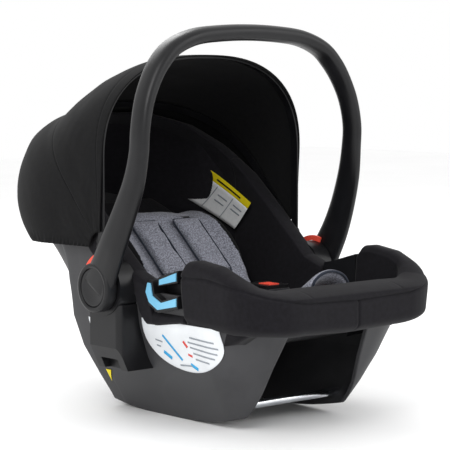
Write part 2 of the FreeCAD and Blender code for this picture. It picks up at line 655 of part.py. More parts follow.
hubBack = outerFace - size("hubThickness")
buttonFace = outerFace - size("buttonRim")
buttonBack = buttonFace - size("buttonThickness")
pocketFloor = hubBack + 5
arch = handleSolid()
for side in (1, -1):
    disc = alongX(size("hubRadius"), hubBack, outerFace, hub)
    disc = disc.makeFillet(2.5, [e for e in disc.Edges if abs(e.CenterOfMass.x - outerFace) < 0.1
                                 and e.Length > 50])
    pocket = alongX(size("buttonRadius") + gap, pocketFloor, far, hub)
    bore = alongX(shaftRadius + size("runningGap"), 100, far, hub)
    away = block((bossInside, -far, -far), (hubBack, far, hub.z + 52))
    outside = block((outerFace, -far, -far), (far, far, far))
    cutters = [pocket, bore, away, outside]
    if side < 0:
        disc = mirrored(disc)
        cutters = [mirrored(cutter) for cutter in cutters]
    arch = arch.fuse(disc)
    arch = arch.cut(cutters)
handle = biggest(arch)

shaftHeadBack = pocketFloor + gap
pivot = alongX(shaftRadius, shaftStart, shaftHeadBack, hub)
pivot = pivot.fuse(alongX(size("pivotHeadRadius"), shaftHeadBack,
                          shaftHeadBack + size("pivotHeadThickness"), hub)).removeSplitter()
button = alongX(size("buttonRadius"), buttonBack, buttonFace, hub)
dish = Part.makeSphere(150, V(buttonFace + 146.5, hub.y, hub.z))
recess = alongX(size("pivotHeadRadius") + 2, buttonBack - 1, buttonBack + 4.5, hub)
button = button.cut([dish, recess])
# Cone washer under the button.
springLow = pocketFloor + gap
springHigh = buttonBack - gap
springSheet = size("springSheet")
springOutline = [(springLow, size("springRadius")), (springLow + springSheet, size("springRadius")),
                 (springHigh, size("springBore")), (springHigh - springSheet, size("springBore"))]
springCorners = [V(x, hub.y, hub.z + radius) for x, radius in springOutline]
springFace = Part.Face(Part.makePolygon(springCorners + springCorners[:1]))
spring = springFace.revolve(V(0, hub.y, hub.z), X_AXIS, 360)

# ---- shell cut for what it carries, then the free-form sub-parts ----
shell = shell.cut([shaftHole, mirrored(shaftHole), pinHole, mirrored(pinHole)])
shell = biggest(shell)
sideCover = biggest(sideCover.cut([pinClear, shaftHole, shell]))
footCover = biggest(footCover.cut(shell))
guide = biggest(guide.cut(shellZone).cut(sideCover))
feature("seat_shell", shell)
feature("side_cover_left", sideCover)
feature("side_cover_right", biggest(mirrored(sideCover).cut([shell, seatPad])))
feature("head_foam", foam)
feature("foot_cover", footCover)
feature("head_cover", headCover)
feature("seat_pad", seatPad)
feature("infant_insert", insert)
feature("crotch_pad", crotchPad)
feature("crotch_strap", crotchStrap)
feature("adjuster_strap", adjusterStrap)
feature("handle", handle)
feature("canopy_front_bow", frontBow)
feature("canopy_mid_bow", midBow)
feature("canopy_hem", hem)
feature("canopy_front_panel", frontPanel)
feature("canopy_rear_panel", rearPanel)
paired = {
    "hub_boss": boss, "adapter_housing": housing, "belt_guide": guide,
    "guide_upper_inlay": upperInlay, "guide_lower_inlay": lowerInlay,
    "shoulder_strap": strap, "shoulder_pad": shoulderPad,
    "handle_pivot": pivot, "handle_button": button, "button_spring": spring, "canopy_pin": pin,
}
for label, shape in paired.items():
    feature(label + "_left", shape)
    feature(label + "_right", mirrored(shape))

# ---- red lock rings: sectors of a ring bound to the sheet ----
for name, side in (("left", 1), ("right", -1)):
    outer = doc.addObject("Part::Cylinder", "ringOuter_" + name)
    inner = doc.addObject("Part::Cylinder", "ringInner_" + name)
    outer.setExpression("Radius", "Sizes.ringRadius")
    inner.setExpression("Radius", "Sizes.bossRadius + Sizes.fitGap")
    for item in (outer, inner):
        item.setExpression("Height", "Sizes.ringThickness")
        item.Angle = ringSweep if item is outer else 360
    # The cylinder's own axis lies along X; its sector starts at the rear and ends above the hub.
    turn = FreeCAD.Rotation(X_AXIS, ringStart).multiply(FreeCAD.Rotation(Y_AXIS, 90))
    x = ringBack if side > 0 else -bossFace
    for item in (outer, inner):
        item.Placement = FreeCAD.Placement(V(x, hub.y, hub.z), turn)
    ring = doc.addObject("Part::Cut", "lock_ring_" + name)
    ring.Base = outer
    ring.Tool = inner
    ring.Label = "lock_ring_" + name
    subparts.append(ring)


def boundBox(label, corner, spans):
    """Part::Box whose lengths are bound to the sheet where a name is given."""
    item = doc.addObject("Part::Box", label)
    for prop, span in zip(("Length", "Width", "Height"), spans):
        if isinstance(span, str):
            item.setExpression(prop, span)
        else:
            setattr(item, prop, span)
    item.Placement = FreeCAD.Placement(corner, FreeCAD.Rotation())
    item.Label = label
    return item


def cutOf(label, base, tools):
    """Chain of cuts under one label."""
    for k, tool in enumerate(tools):
        result = doc.addObject("Part::Cut", "%sCut%d" % (label, k))
        result.Base = base
        result.Tool = tool
        base = result
    base.Label = label
    return base


def filleted(label, base, radius, keep):
    """Fillet of the edges of a box that keep() picks."""
    doc.recompute()
    base.Label = label + "Blank"
    result = doc.addObject("Part::Fillet", label)
    result.Base = base
    result.Edges = [(k, radius, radius) for k, edge in enumerate(base.Shape.Edges, start=1) if keep(edge)]
    result.Label = label
    return result


# ---- buckle: housing, red release button and two tongues ----
buckleWidth = size("buckleWidth")
buckleHeight = size("buckleHeight")
buttonHalf = 9
buttonDepth = 5
buckleBlank = boundBox("buckleBlank", V(-buckleWidth / 2, buckleFront, buckleBase),
                       ("Sizes.buckleWidth", "Sizes.buckleLength", "Sizes.buckleHeight"))
buttonY = buckleFront + 8
buttonLength = 22
buttonTool = boundBox("buckleButtonPocket", V(-buttonHalf - gap, buttonY - gap, buckleBase + buckleHeight - 8),
                      (2 * buttonHalf + 2 * gap, buttonLength + 2 * gap, 20))
tongueWidth = 15
tongueThickness = 3
tongueReach = 12
tongueZ = buckleBase + buckleHeight / 2 - tongueThickness / 2 - 2
slotTool = boundBox("buckleTongueSlot", V(-buckleWidth / 2 - 1, buckleRear - tongueReach, tongueZ - gap / 2),
                    (buckleWidth + 2, 60, tongueThickness + gap))
housingCut = cutOf("buckleCut", buckleBlank, [buttonTool, slotTool])
subparts.append(filleted("buckle_housing", housingCut, 4,
                         lambda edge: abs(edge.BoundBox.ZLength - buckleHeight) < 0.1))
buckleButton = boundBox("buckle_button", V(-buttonHalf, buttonY, buckleBase + buckleHeight - 8 + 3 + gap),
                        (2 * buttonHalf, buttonLength, buttonDepth + 1))
subparts.append(buckleButton)
tongueEnd = -106 * stretchY
tongue = block((4.5, buckleRear - tongueReach + gap, tongueZ), (4.5 + tongueWidth, tongueEnd, tongueZ + tongueThickness))
tongue = tongue.fuse(block((4.5, buckleRear + gap, tongueZ), (shoulderX + 10, tongueEnd, tongueZ + tongueThickness)))
tongue = tongue.removeSplitter()
feature("buckle_tongue_left", tongue)
feature("buckle_tongue_right", mirrored(tongue))

# ---- adjuster, its button and the yoke ----
feature("harness_adjuster", adjuster)
adjusterButton = boundBox("adjuster_button",
                          V(-14, adjusterFront + 6, adjusterTop - adjusterHole + size("buttonTravel") + gap),
                          (28, 18, 8))
subparts.append(adjusterButton)
feature("harness_yoke", yoke)

# ---- labels and the rear belt hook ----
labelSkin = size("labelThickness")
labelCentre = sidePoint((-156, 130))
labelHalfLength = 80
labelHalfHeight = 51
labelOval = Part.Ellipse(labelCentre + V(0, labelHalfLength, 0), labelCentre + V(0, 0, labelHalfHeight), labelCentre)
labelPlug = Part.Face(Part.Wire(labelOval.toShape())).extrude(V(-far, 0, 0))
labelHeight = 136 * stretchZ
sideLabel = prow(-gap / 3 - labelSkin).cut(prow(-gap / 3)).common(labelPlug)
sideLabel = sideLabel.common(block((-far, -far, 0), (0, far, labelHeight)))
feature("side_label", biggest(sideLabel))
fabricLabel = bucket(lining + gap / 3).cut(bucket(lining + gap / 3 + labelSkin))
labelCorners = [sidePoint(pair) + V(20, 0, 0) for pair in ((134, 342), (42, 288), (70, 248), (160, 302))]
labelPrism = Part.Face(Part.makePolygon(labelCorners + labelCorners[:1])).extrude(V(200, 0, 0))
feature("fabric_label", biggest(fabricLabel.common(labelPrism)))
hookOutline = [(150, 190), (150, 165), (178, 150), (212, 168), (212, 176), (188, 168), (184, 200)]
hook = prism(hookOutline, -26, 26)
feature("rear_belt_hook", biggest(hook.cut(bucket(-gap))))

# ---- checks and export ----
doc.recompute()
names = set()
for item in subparts:
    shape = item.Shape
    if any(flag in item.State for flag in ("Invalid", "Error")):
        raise RuntimeError("%s failed to build" % item.Label)
    if shape.isNull() or not shape.isValid() or not shape.Solids:
        raise RuntimeError("%s has no valid solid" % item.Label)
    if item.Label in names:
        raise RuntimeError("%s is used twice" % item.Label)
    names.add(item.Label)
    shape.exportStep("parts/%s.step" % item.Label)
    box = shape.BoundBox
    print("%-24s solids %d  volume %9.0f  x %6.1f %6.1f  y %6.1f %6.1f  z %6.1f %6.1f" % (
        item.Label, len(shape.Solids), shape.Volume, box.XMin, box.XMax, box.YMin, box.YMax,
        box.ZMin, box.ZMax))
print("sub-parts:", len(names))
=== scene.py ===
import math
import bpy
import numpy as np
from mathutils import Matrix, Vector


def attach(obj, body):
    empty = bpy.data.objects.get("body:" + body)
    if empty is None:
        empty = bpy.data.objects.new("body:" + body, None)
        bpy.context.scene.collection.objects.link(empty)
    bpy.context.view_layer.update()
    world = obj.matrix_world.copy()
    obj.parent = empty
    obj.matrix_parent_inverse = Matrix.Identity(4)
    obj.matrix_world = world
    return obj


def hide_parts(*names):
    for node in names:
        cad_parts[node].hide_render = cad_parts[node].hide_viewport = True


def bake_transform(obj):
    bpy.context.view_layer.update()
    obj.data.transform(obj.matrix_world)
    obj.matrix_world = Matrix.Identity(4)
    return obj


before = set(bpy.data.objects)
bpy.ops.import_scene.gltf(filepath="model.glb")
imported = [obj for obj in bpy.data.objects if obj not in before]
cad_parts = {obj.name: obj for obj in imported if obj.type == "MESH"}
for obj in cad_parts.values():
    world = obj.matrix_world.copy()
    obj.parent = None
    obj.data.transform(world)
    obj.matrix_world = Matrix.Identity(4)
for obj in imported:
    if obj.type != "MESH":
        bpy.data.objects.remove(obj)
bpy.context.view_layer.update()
print("frame loaded")

mm = 0.001


# sRGB hex to linear RGBA
def colour(hexText, alpha=1.0):
    parts = [int(hexText[i:i + 2], 16) / 255 for i in (1, 3, 5)]
    return tuple(c / 12.92 if c <= 0.04045 else ((c + 0.055) / 1.055) ** 2.4 for c in parts) + (alpha,)


# materials

# adds one node, sets its values and joins its inputs
def addNode(tree, kind, settings=None, links=None):
    node = tree.nodes.new(kind)
    for key, value in (settings or {}).items():
        if isinstance(key, str) and hasattr(node, key):
            setattr(node, key, value)
        else:
            node.inputs[key].default_value = value
    for key, source in (links or {}).items():
        tree.links.new(source, node.inputs[key])
    return node


def newMaterial(name, settings):
    mat = bpy.data.materials.new(name)
    mat.use_nodes = True
    tree = mat.node_tree
    shader = tree.nodes["Principled BSDF"]
    for key, value in settings.items():
        shader.inputs[key].default_value = value
    where = addNode(tree, "ShaderNodeTexCoord").outputs["Object"]
    return mat, tree, shader, where


# two colours mixed by noise of a real size in millimetres
def mottled(tree, where, dark, light, grainMm, detail=3.0, low=0.35, high=0.65):
    noise = addNode(tree, "ShaderNodeTexNoise", {"Scale": 1000 / grainMm, "Detail": detail}, {"Vector": where})
    ramp = addNode(tree, "ShaderNodeValToRGB", {}, {"Fac": noise.outputs["Fac"]})
    ramp.color_ramp.elements[0].position = low
    ramp.color_ramp.elements[1].position = high
    ramp.color_ramp.elements[0].color = colour(dark)
    ramp.color_ramp.elements[1].color = colour(light)
    return ramp.outputs["Color"], noise.outputs["Fac"]


def bumpOf(tree, shader, height, depthMm, strength=1.0):
    bump = addNode(tree, "ShaderNodeBump", {"Strength": strength, "Distance": depthMm * mm}, {"Height": height})
    tree.links.new(bump.outputs["Normal"], shader.inputs["Normal"])
    return bump


# moulded plastic: spark-eroded grain, faint colour drift, a worn sheen that varies slowly
def mouldedPlastic(name, dark, light, roughness, grainMm=0.9, grainDepth=0.05, gloss=0.35):
    mat, tree, shader, where = newMaterial(name, {"Roughness": roughness, "IOR": 1.49, "Specular IOR Level": gloss})
    tint, drift = mottled(tree, where, dark, light, 45)
    tree.links.new(tint, shader.inputs["Base Color"])
    wear = addNode(tree, "ShaderNodeMapRange", {"From Min": 0.3, "From Max": 0.7, "To Min": roughness - 0.05,
                                                "To Max": roughness + 0.07}, {"Value": drift})
    tree.links.new(wear.outputs["Result"], shader.inputs["Roughness"])
    grain = addNode(tree, "ShaderNodeTexNoise", {"Scale": 1000 / grainMm, "Detail": 2.0}, {"Vector": where})
    bumpOf(tree, shader, grain.outputs["Fac"], grainDepth, 0.6)
    return mat


# knitted or woven cloth: rows of stitches as crossed waves, fibre noise, sheen from the loose fibres
def clothMaterial(name, dark, light, threadMm, depthMm, sheen, fleckMm=6.0, low=0.3, high=0.7, roughness=0.9):
    mat, tree, shader, where = newMaterial(name, {"Roughness": roughness, "Sheen Weight": sheen,
                                                  "Sheen Roughness": 0.5, "Specular IOR Level": 0.12})
    tint, fleck = mottled(tree, where, dark, light, fleckMm, 5.0, low, high)
    tree.links.new(tint, shader.inputs["Base Color"])
    waves = []
    for direction in ("X", "Z"):
        waves.append(addNode(tree, "ShaderNodeTexWave", {"bands_direction": direction, "Scale": 1000 / threadMm / 6.28,
                                                         "Distortion": 1.5, "Detail": 2.0}, {"Vector": where}))
    weave = addNode(tree, "ShaderNodeMath", {"operation": "MULTIPLY"},
                    {0: waves[0].outputs["Fac"], 1: waves[1].outputs["Fac"]})
    fuzz = addNode(tree, "ShaderNodeMath", {"operation": "ADD"}, {0: weave.outputs["Value"], 1: fleck})
    bumpOf(tree, shader, fuzz.outputs["Value"], depthMm, 0.8)
    return mat


# polypropylene shell, textured tool: dark grey, dull satin
shellPlastic = mouldedPlastic("texturedPolypropylene", "#38383a", "#404042", 0.55, 1.1, 0.05, 0.3)
# polypropylene handle, finer tool: near black with a soft grey shine
handlePlastic = mouldedPlastic("satinPolypropylene", "#101012", "#161618", 0.36, 0.7, 0.02, 0.3)
# smooth nylon of guides, bows and buckle
nylonPlastic = mouldedPlastic("smoothNylon", "#0e0e10", "#141416", 0.34, 0.7, 0.015, 0.3)
buttonPlastic = mouldedPlastic("satinButton", "#121214", "#18181a", 0.34, 0.7, 0.015, 0.3)
bluePlastic = mouldedPlastic("mouldedBlueAbs", "#6fb2d3", "#7bbcdc", 0.4, 1.0, 0.01, 0.2)
redPlastic = mouldedPlastic("mouldedRedAbs", "#ee4f3e", "#f65c48", 0.4, 1.0, 0.01, 0.2)
# padded knit cover over thin foam: black with a faint violet cast where the light grazes
coverKnit = clothMaterial("paddedBlackKnit", "#141316", "#1a191d", 1.1, 0.05, 0.05)
# plain-woven polyester of the canopy, flatter and blacker than the knit
canopyWeave = clothMaterial("wovenCanopyPolyester", "#0e0e0f", "#131314", 0.9, 0.04, 0.03)
bindingCloth = clothMaterial("wovenBlackBinding", "#0c0c0e", "#121214", 1.0, 0.1, 0.04)
bluishBinding = clothMaterial("wovenSlateBinding", "#22262f", "#2a2f3a", 1.0, 0.1, 0.1)
# grey melange jersey: light and dark fibres in short flecks
melangeJersey = clothMaterial("melangeJersey", "#62636c", "#9698a3", 1.0, 0.08, 0.15, 1.9, 0.4, 0.62)
webbingCloth = clothMaterial("wovenPolyesterWebbing", "#141417", "#1d1d21", 1.4, 0.25, 0.08, 4.0)
foamStuff = clothMaterial("openCellFoam", "#cfcfc8", "#dadad4", 1.5, 0.3, 0.1, 3.0)
labelFilm = mouldedPlastic("printedLabelFilm", "#dcdfe2", "#e4e7ea", 0.45, 2.0, 0.005, 0.2)
labelSatin = clothMaterial("wovenLabelSatin", "#d6d7d8", "#dfe0e1", 0.8, 0.02, 0.05)
labelYellow = clothMaterial("printedYellowSatin", "#ead417", "#f1dd22", 0.8, 0.02, 0.02)
yellowFilm = mouldedPlastic("printedYellowFilm", "#efd90e", "#f5e11a", 0.45, 2.0, 0.005, 0.2)
inkGrey = mouldedPlastic("printedGreyInk", "#8d939a", "#979da3", 0.5, 2.0, 0.002, 0.2)
inkBlue = mouldedPlastic("printedBlueInk", "#2f9bd0", "#3aa5d8", 0.5, 2.0, 0.002, 0.2)
inkRed = mouldedPlastic("printedRedInk", "#d24a44", "#da544d", 0.5, 2.0, 0.002, 0.2)


# plated steel tube: bright, faint draw lines round it
def platedSteel():
    mat, tree, shader, where = newMaterial("chromePlatedTube", {"Metallic": 1.0, "Roughness": 0.16})
    tint, drift = mottled(tree, where, "#c9ccd2", "#dde0e5", 30)
    tree.links.new(tint, shader.inputs["Base Color"])
    lines = addNode(tree, "ShaderNodeTexWave", {"bands_direction": "X", "Scale": 160.0, "Distortion": 0.5},
                    {"Vector": where})
    bumpOf(tree, shader, lines.outputs["Fac"], 0.01, 0.3)
    return mat


platedTube = platedSteel()
print("materials made")


# mesh helpers

# grid (rows, columns, 3) in millimetres to a smooth mesh object; closed directions join their last row to the first
def gridObject(name, points, mats, closedU=False, closedV=False, capU=False, faceMat=None, flip=False):
    rows, cols = points.shape[:2]
    verts = points.reshape(-1, 3) * mm
    iu = np.arange(rows if closedU else rows - 1)
    iv = np.arange(cols if closedV else cols - 1)
    a, b = np.meshgrid(iu, iv, indexing="ij")
    a2, b2 = (a + 1) % rows, (b + 1) % cols
    quads = np.stack([a * cols + b, a2 * cols + b, a2 * cols + b2, a * cols + b2], -1).reshape(-1, 4)
    if flip:
        quads = quads[:, ::-1]
    faces = quads.tolist()
    if capU and closedV:
        ring = list(range(cols))
        last = [(rows - 1) * cols + k for k in range(cols)]
        faces += [ring if flip else ring[::-1], last[::-1] if flip else last]
    mesh = bpy.data.meshes.new(name)
    mesh.from_pydata(verts.tolist(), [], faces)
    mesh.polygons.foreach_set("use_smooth", np.ones(len(faces), bool))
    for mat in mats:
        mesh.materials.append(mat)
    if faceMat is not None:
        index = np.zeros(len(faces), int)
        index[:len(quads)] = faceMat.reshape(-1)
        mesh.polygons.foreach_set("material_index", index)
    obj = bpy.data.objects.new(name, mesh)
    bpy.context.collection.objects.link(obj)
    mesh.update()
    return obj


# turns every face outwards on a closed piece
def faceOut(obj):
    import bmesh
    work = bmesh.new()
    work.from_mesh(obj.data)
    bmesh.ops.remove_doubles(work, verts=work.verts, dist=0.00002)
    bmesh.ops.recalc_face_normals(work, faces=work.faces)
    work.to_mesh(obj.data)
    work.free()
    obj.data.polygons.foreach_set("use_smooth", np.ones(len(obj.data.polygons), bool))
    return obj


def solidify(obj, thickness, offset=-1.0):
    mod = obj.modifiers.new("wall", "SOLIDIFY")
    mod.thickness = thickness * mm
    mod.offset = offset
    return obj


# table of pairs read smoothly: straight runs averaged over a window
def smoothTable(value, table, window=22.0):
    xs, ys = np.array(table, float).T
    grid = np.arange(xs[0] - 60, xs[-1] + 60, 1.0)
    dense = np.interp(grid, xs, ys)
    kernel = np.hanning(int(window) | 1)
    kernel /= kernel.sum()
    pad = len(kernel) // 2
    soft = np.convolve(np.pad(dense, pad, mode="edge"), kernel, mode="valid")
    return np.interp(value, grid, soft)


# smooth curve through points: Catmull-Rom, count samples per run
def curveThrough(points, count=8):
    p = np.array(points, float)
    p = np.vstack([2 * p[0] - p[1], p, 2 * p[-1] - p[-2]])
    t = np.linspace(0, 1, count, endpoint=False)[None, :, None]
    a, b, c, d = (p[k:len(p) - 3 + k][:, None, :] for k in range(4))
    run = 0.5 * (2 * b + (c - a) * t + (2 * a - 5 * b + 4 * c - d) * t ** 2 + (3 * b - a - 3 * c + d) * t ** 3)
    return np.vstack([run.reshape(-1, p.shape[1]), p[-2]])


# round cord or piping along a path: circle of the given radius carried on the path's frames
def tubeAlong(name, path, radius, mat, sides=10, closed=False):
    path = np.array(path, float)
    nxt = np.roll(path, -1, 0) if closed else np.vstack([path[1:], 2 * path[-1] - path[-2]])
    prev = np.roll(path, 1, 0) if closed else np.vstack([2 * path[0] - path[1], path[:-1]])
    along = nxt - prev
    along /= np.linalg.norm(along, axis=1, keepdims=True)
    ref = np.where(np.abs(along[:, 2:3]) < 0.9, [[0, 0, 1.0]], [[1.0, 0, 0]])
    side = np.cross(along, ref)
    side /= np.linalg.norm(side, axis=1, keepdims=True)
    up = np.cross(side, along)
    ang = np.linspace(0, 2 * np.pi, sides, endpoint=False)
    ring = side[:, None] * np.cos(ang)[None, :, None] + up[:, None] * np.sin(ang)[None, :, None]
    return faceOut(gridObject(name, path[:, None] + ring * radius, [mat], closedU=closed, closedV=True,
                              capU=not closed))


# profile of (x, r) pairs turned about an axis along X through the centre (y, z)
def latheX(name, profile, centre, mat, side=1, turns=72):
    profile = np.array(profile, float)
    ang = np.linspace(0, 2 * np.pi, turns, endpoint=False)
    pts = np.empty((len(profile), turns, 3))
    pts[..., 0] = side * profile[:, :1]
    pts[..., 1] = centre[0] + profile[:, 1:] * np.cos(ang)
    pts[..., 2] = centre[1] + profile[:, 1:] * np.sin(ang)
    return faceOut(gridObject(name, pts, [mat], closedV=True, capU=True))


# slow folds and dents of cloth: a sum of slanted sines
def rumple(a, b, seed, count=7, low=14.0, high=60.0):
    r = np.random.default_rng(seed)
    total = np.zeros(np.broadcast(a, b).shape)
    for k in range(count):
        wave, turn, shift = r.uniform(low, high), r.uniform(0, np.pi), r.uniform(0, 6.28)
        total += np.sin((a * math.cos(turn) + b * math.sin(turn)) * 2 * np.pi / wave + shift) * wave / high
    return total / count


def groove(distance, width):
    return np.exp(-(distance / width) ** 2)


# the bucket's plan: half width and rear reach by height
bucket = {
    "halfWidths": [(-12, 92), (16, 106), (50, 126), (90, 148), (135, 163), (185, 170), (225, 173),
                   (250, 174), (285, 174), (325, 171), (368, 151), (400, 118), (432, 72)],
    "rearReaches": [(-12, 84), (16, 92), (50, 103), (90, 112), (135, 126), (185, 165), (225, 228),
                    (250, 280), (285, 312), (325, 310), (368, 285), (400, 250), (432, 192)],
    "widest": 40.0, "front": 324.0, "corner": 66.0, "square": 2.15,
    "prowReaches": [(-12, 203), (16, 216), (50, 234), (90, 251), (135, 273), (185, 297)],
    "prowCorners": [(-12, 34), (16, 36), (50, 44), (90, 54), (135, 66), (185, 66)],
    "archHalves": [(-30, 94), (18, 92), (132, 74), (200, 74)],
}
hubY, hubZ = -35.0, 189.0
flatShare, cornerShare, sideShare = 0.13, 0.27, 0.55


# front reach and corner radius at each height: the wide foot bar, or the prow under it
def frontAt(z, inset, prow):
    if prow:
        return (-np.interp(z, *np.array(bucket["prowReaches"]).T) + inset,
                np.interp(z, *np.array(bucket["prowCorners"]).T) - inset)
    return -bucket["front"] + inset, bucket["corner"] - inset + 0 * z


# plan point by share p of the half loop (0 front middle, 1 rear middle), height and inset: flat front, round
# corner, straight side, then a superellipse quarter for the rear
def planPoint(p, z, inset, prow=False):
    p, z, inset = np.broadcast_arrays(*(np.asarray(v, float) for v in (p, z, inset)))
    half = smoothTable(z, bucket["halfWidths"]) - inset
    reach = smoothTable(z, bucket["rearReaches"]) - bucket["widest"] - inset
    front, corner = frontAt(z, inset, prow)
    x = np.empty(p.shape)
    y = np.empty(p.shape)
    s = np.clip(p / flatShare, 0, 1)
    m = p <= flatShare
    x[m], y[m] = (s * (half - corner))[m], front[m]
    s = np.clip((p - flatShare) / (cornerShare - flatShare), 0, 1) * np.pi / 2
    m = (p > flatShare) & (p <= cornerShare)
    x[m], y[m] = (half - corner + corner * np.sin(s))[m], (front + corner - corner * np.cos(s))[m]
    s = np.clip((p - cornerShare) / (sideShare - cornerShare), 0, 1)
    m = (p > cornerShare) & (p <= sideShare)
    x[m], y[m] = half[m], (front + corner + s * (bucket["widest"] - front - corner))[m]
    s = np.clip((p - sideShare) / (1 - sideShare), 0, 1) * np.pi / 2
    m = p > sideShare
    power = 2 / bucket["square"]
    x[m], y[m] = (half * np.cos(s) ** power)[m], (bucket["widest"] + reach * np.sin(s) ** power)[m]
    return x, y


# share of the half loop where the wall passes a given y, at a height and inset
def shareAt(y, z, inset=0.0, prow=False):
    y, z = np.broadcast_arrays(np.asarray(y, float), np.asarray(z, float))
    reach = smoothTable(z, bucket["rearReaches"]) - bucket["widest"] - inset
    front, corner = frontAt(z, inset, prow)
    start = front + corner
    straight = cornerShare + (y - start) / (bucket["widest"] - start) * (sideShare - cornerShare)
    round_ = flatShare + np.arccos(np.clip((start - y) / corner, 0, 1)) * 2 / np.pi * (cornerShare - flatShare)
    part = np.clip((y - bucket["widest"]) / reach, 0, 1) ** (bucket["square"] / 2)
    rear = sideShare + np.arcsin(part) * 2 / np.pi * (1 - sideShare)
    return np.where(y < start, round_, np.where(y <= bucket["widest"], straight, rear))


# share where the wall's x is half the front opening
def archShare(z, inset=0.0):
    half = smoothTable(z, bucket["halfWidths"]) - inset
    front, corner = frontAt(z, inset, True)
    want = np.interp(z, *np.array(bucket["archHalves"]).T) + 0.4
    flat = want / (half - corner) * flatShare
    turn = np.arcsin(np.clip((want - half + corner) / corner, 0, 1)) * 2 / np.pi
    return np.where(want < half - corner, flat, flatShare + turn * (cornerShare - flatShare))


# moulded shell: a smooth skin over the CAD shell
shellSkin = {
    "low": [(-345, 60), (-236, 36), (-218, 22), (-180, 11),
            (-130, 3), (-80, 0), (0, 0), (35, 3), (70, 9), (120, 22), (330, 22)],
    "high": [(-345, 149), (-215, 149), (-195, 186), (-106, 186), (-62, 201), (-10, 246), (45, 293), (90, 337),
             (146, 393), (190, 413), (330, 413)],
    "proud": 0.5, "columns": 230, "rows": 130, "panelDepth": 1.6, "panelAt": (-150, 60), "panelHalf": (90, 23),
    "panelTilt": 0.36,
}


# outer wall of one side: share from the rear middle to the edge of the front opening, by height share between
# the two side outlines read at the wall's own y
def buildShellSkin(sign, side):
    u = np.linspace(0, 1, shellSkin["columns"])[:, None]
    v = np.linspace(0, 1, shellSkin["rows"])[None, :]
    z = 20 + v * 300 + 0 * u
    for k in range(14):
        x, y = planPoint(1 - u * (1 - archShare(z)), z, 0, True)
        low = np.interp(y, *np.array(shellSkin["low"]).T)
        high = np.interp(y, *np.array(shellSkin["high"]).T)
        z = 0.45 * z + 0.55 * (low + 0.4 + v * (high - low - 0.8))
    x, y = planPoint(1 - u * (1 - archShare(z)), z, -shellSkin["proud"], True)
    # long raised lozenge along the skirt: a slanted oval with a soft edge
    dy, dz = y - shellSkin["panelAt"][0], z - shellSkin["panelAt"][1]
    tilt = shellSkin["panelTilt"]
    a = (dy * math.cos(tilt) - dz * math.sin(tilt)) / shellSkin["panelHalf"][0]
    b = (dy * math.sin(tilt) + dz * math.cos(tilt)) / shellSkin["panelHalf"][1]
    step = 1 / (1 + np.exp(np.minimum((np.abs(a) ** 2.4 + np.abs(b) ** 2.4 - 1) * 6, 60)))
    x = x + shellSkin["panelDepth"] * step
    obj = gridObject("shell_skin_" + side, np.stack([sign * x, y, z], -1), [shellPlastic], flip=sign > 0)
    solidify(obj, 0.9, -1)
    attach(obj, "seat")
    return obj


buildShellSkin(1, "left")
buildShellSkin(-1, "right")
print("shell skin made")


# several small grids as one piece, each with its own material
def joinGrids(name, grids, mats):
    verts, faces, index = [], [], []
    for points, mat in grids:
        rows, cols = points.shape[:2]
        a, b = np.meshgrid(np.arange(rows - 1), np.arange(cols - 1), indexing="ij")
        start = sum(len(part) for part in verts) + a * cols + b
        faces.append(np.stack([start, start + cols, start + cols + 1, start + 1], -1).reshape(-1, 4))
        verts.append(points.reshape(-1, 3) * mm)
        index.append(np.full(len(faces[-1]), mat))
    mesh = bpy.data.meshes.new(name)
    mesh.from_pydata(np.vstack(verts).tolist(), [], np.vstack(faces).tolist())
    mesh.polygons.foreach_set("use_smooth", np.ones(len(mesh.polygons), bool))
    for mat in mats:
        mesh.materials.append(mat)
    mesh.polygons.foreach_set("material_index", np.concatenate(index).astype(int))
    mesh.update()
    obj = bpy.data.objects.new(name, mesh)
    bpy.context.collection.objects.link(obj)
    return obj


# straight-edged patch laid on the wall: four (y, z) corners blended, x read from the plan
def wallPatch(sign, corners, inset, prow, count=(24, 10)):
    c = np.array(corners, float)
    u = np.linspace(0, 1, count[0])[:, None, None]
    v = np.linspace(0, 1, count[1])[None, :, None]
    flat = (c[0] * (1 - u) + c[1] * u) * (1 - v) + (c[3] * (1 - u) + c[2] * u) * v
    y, z = flat[..., 0], flat[..., 1]
    x, yy = planPoint(shareAt(y, z, inset, prow), z, inset, prow)
    return np.stack([sign * x, yy, z], -1)


# bar of ink from one (y, z) point to another
def inkBar(sign, first, last, width, inset, prow):
    a, b = np.array(first, float), np.array(last, float)
    n = np.array([a[1] - b[1], b[0] - a[0]])
    n *= width / 2 / np.linalg.norm(n)
    return wallPatch(sign, [a - n, b - n, b + n, a + n], inset, prow, (16, 3))


sideLabel = {"centre": (-156, 130), "half": (79, 50), "top": 148.0, "inset": -1.9, "ink": -2.5,
             "bars": [((-176, 131), (-222, 128)), ((-170, 124), (-226, 120)), ((-172, 117), (-222, 112)),
                      ((-176, 109), (-216, 105)), ((-178, 101), (-204, 98))]}


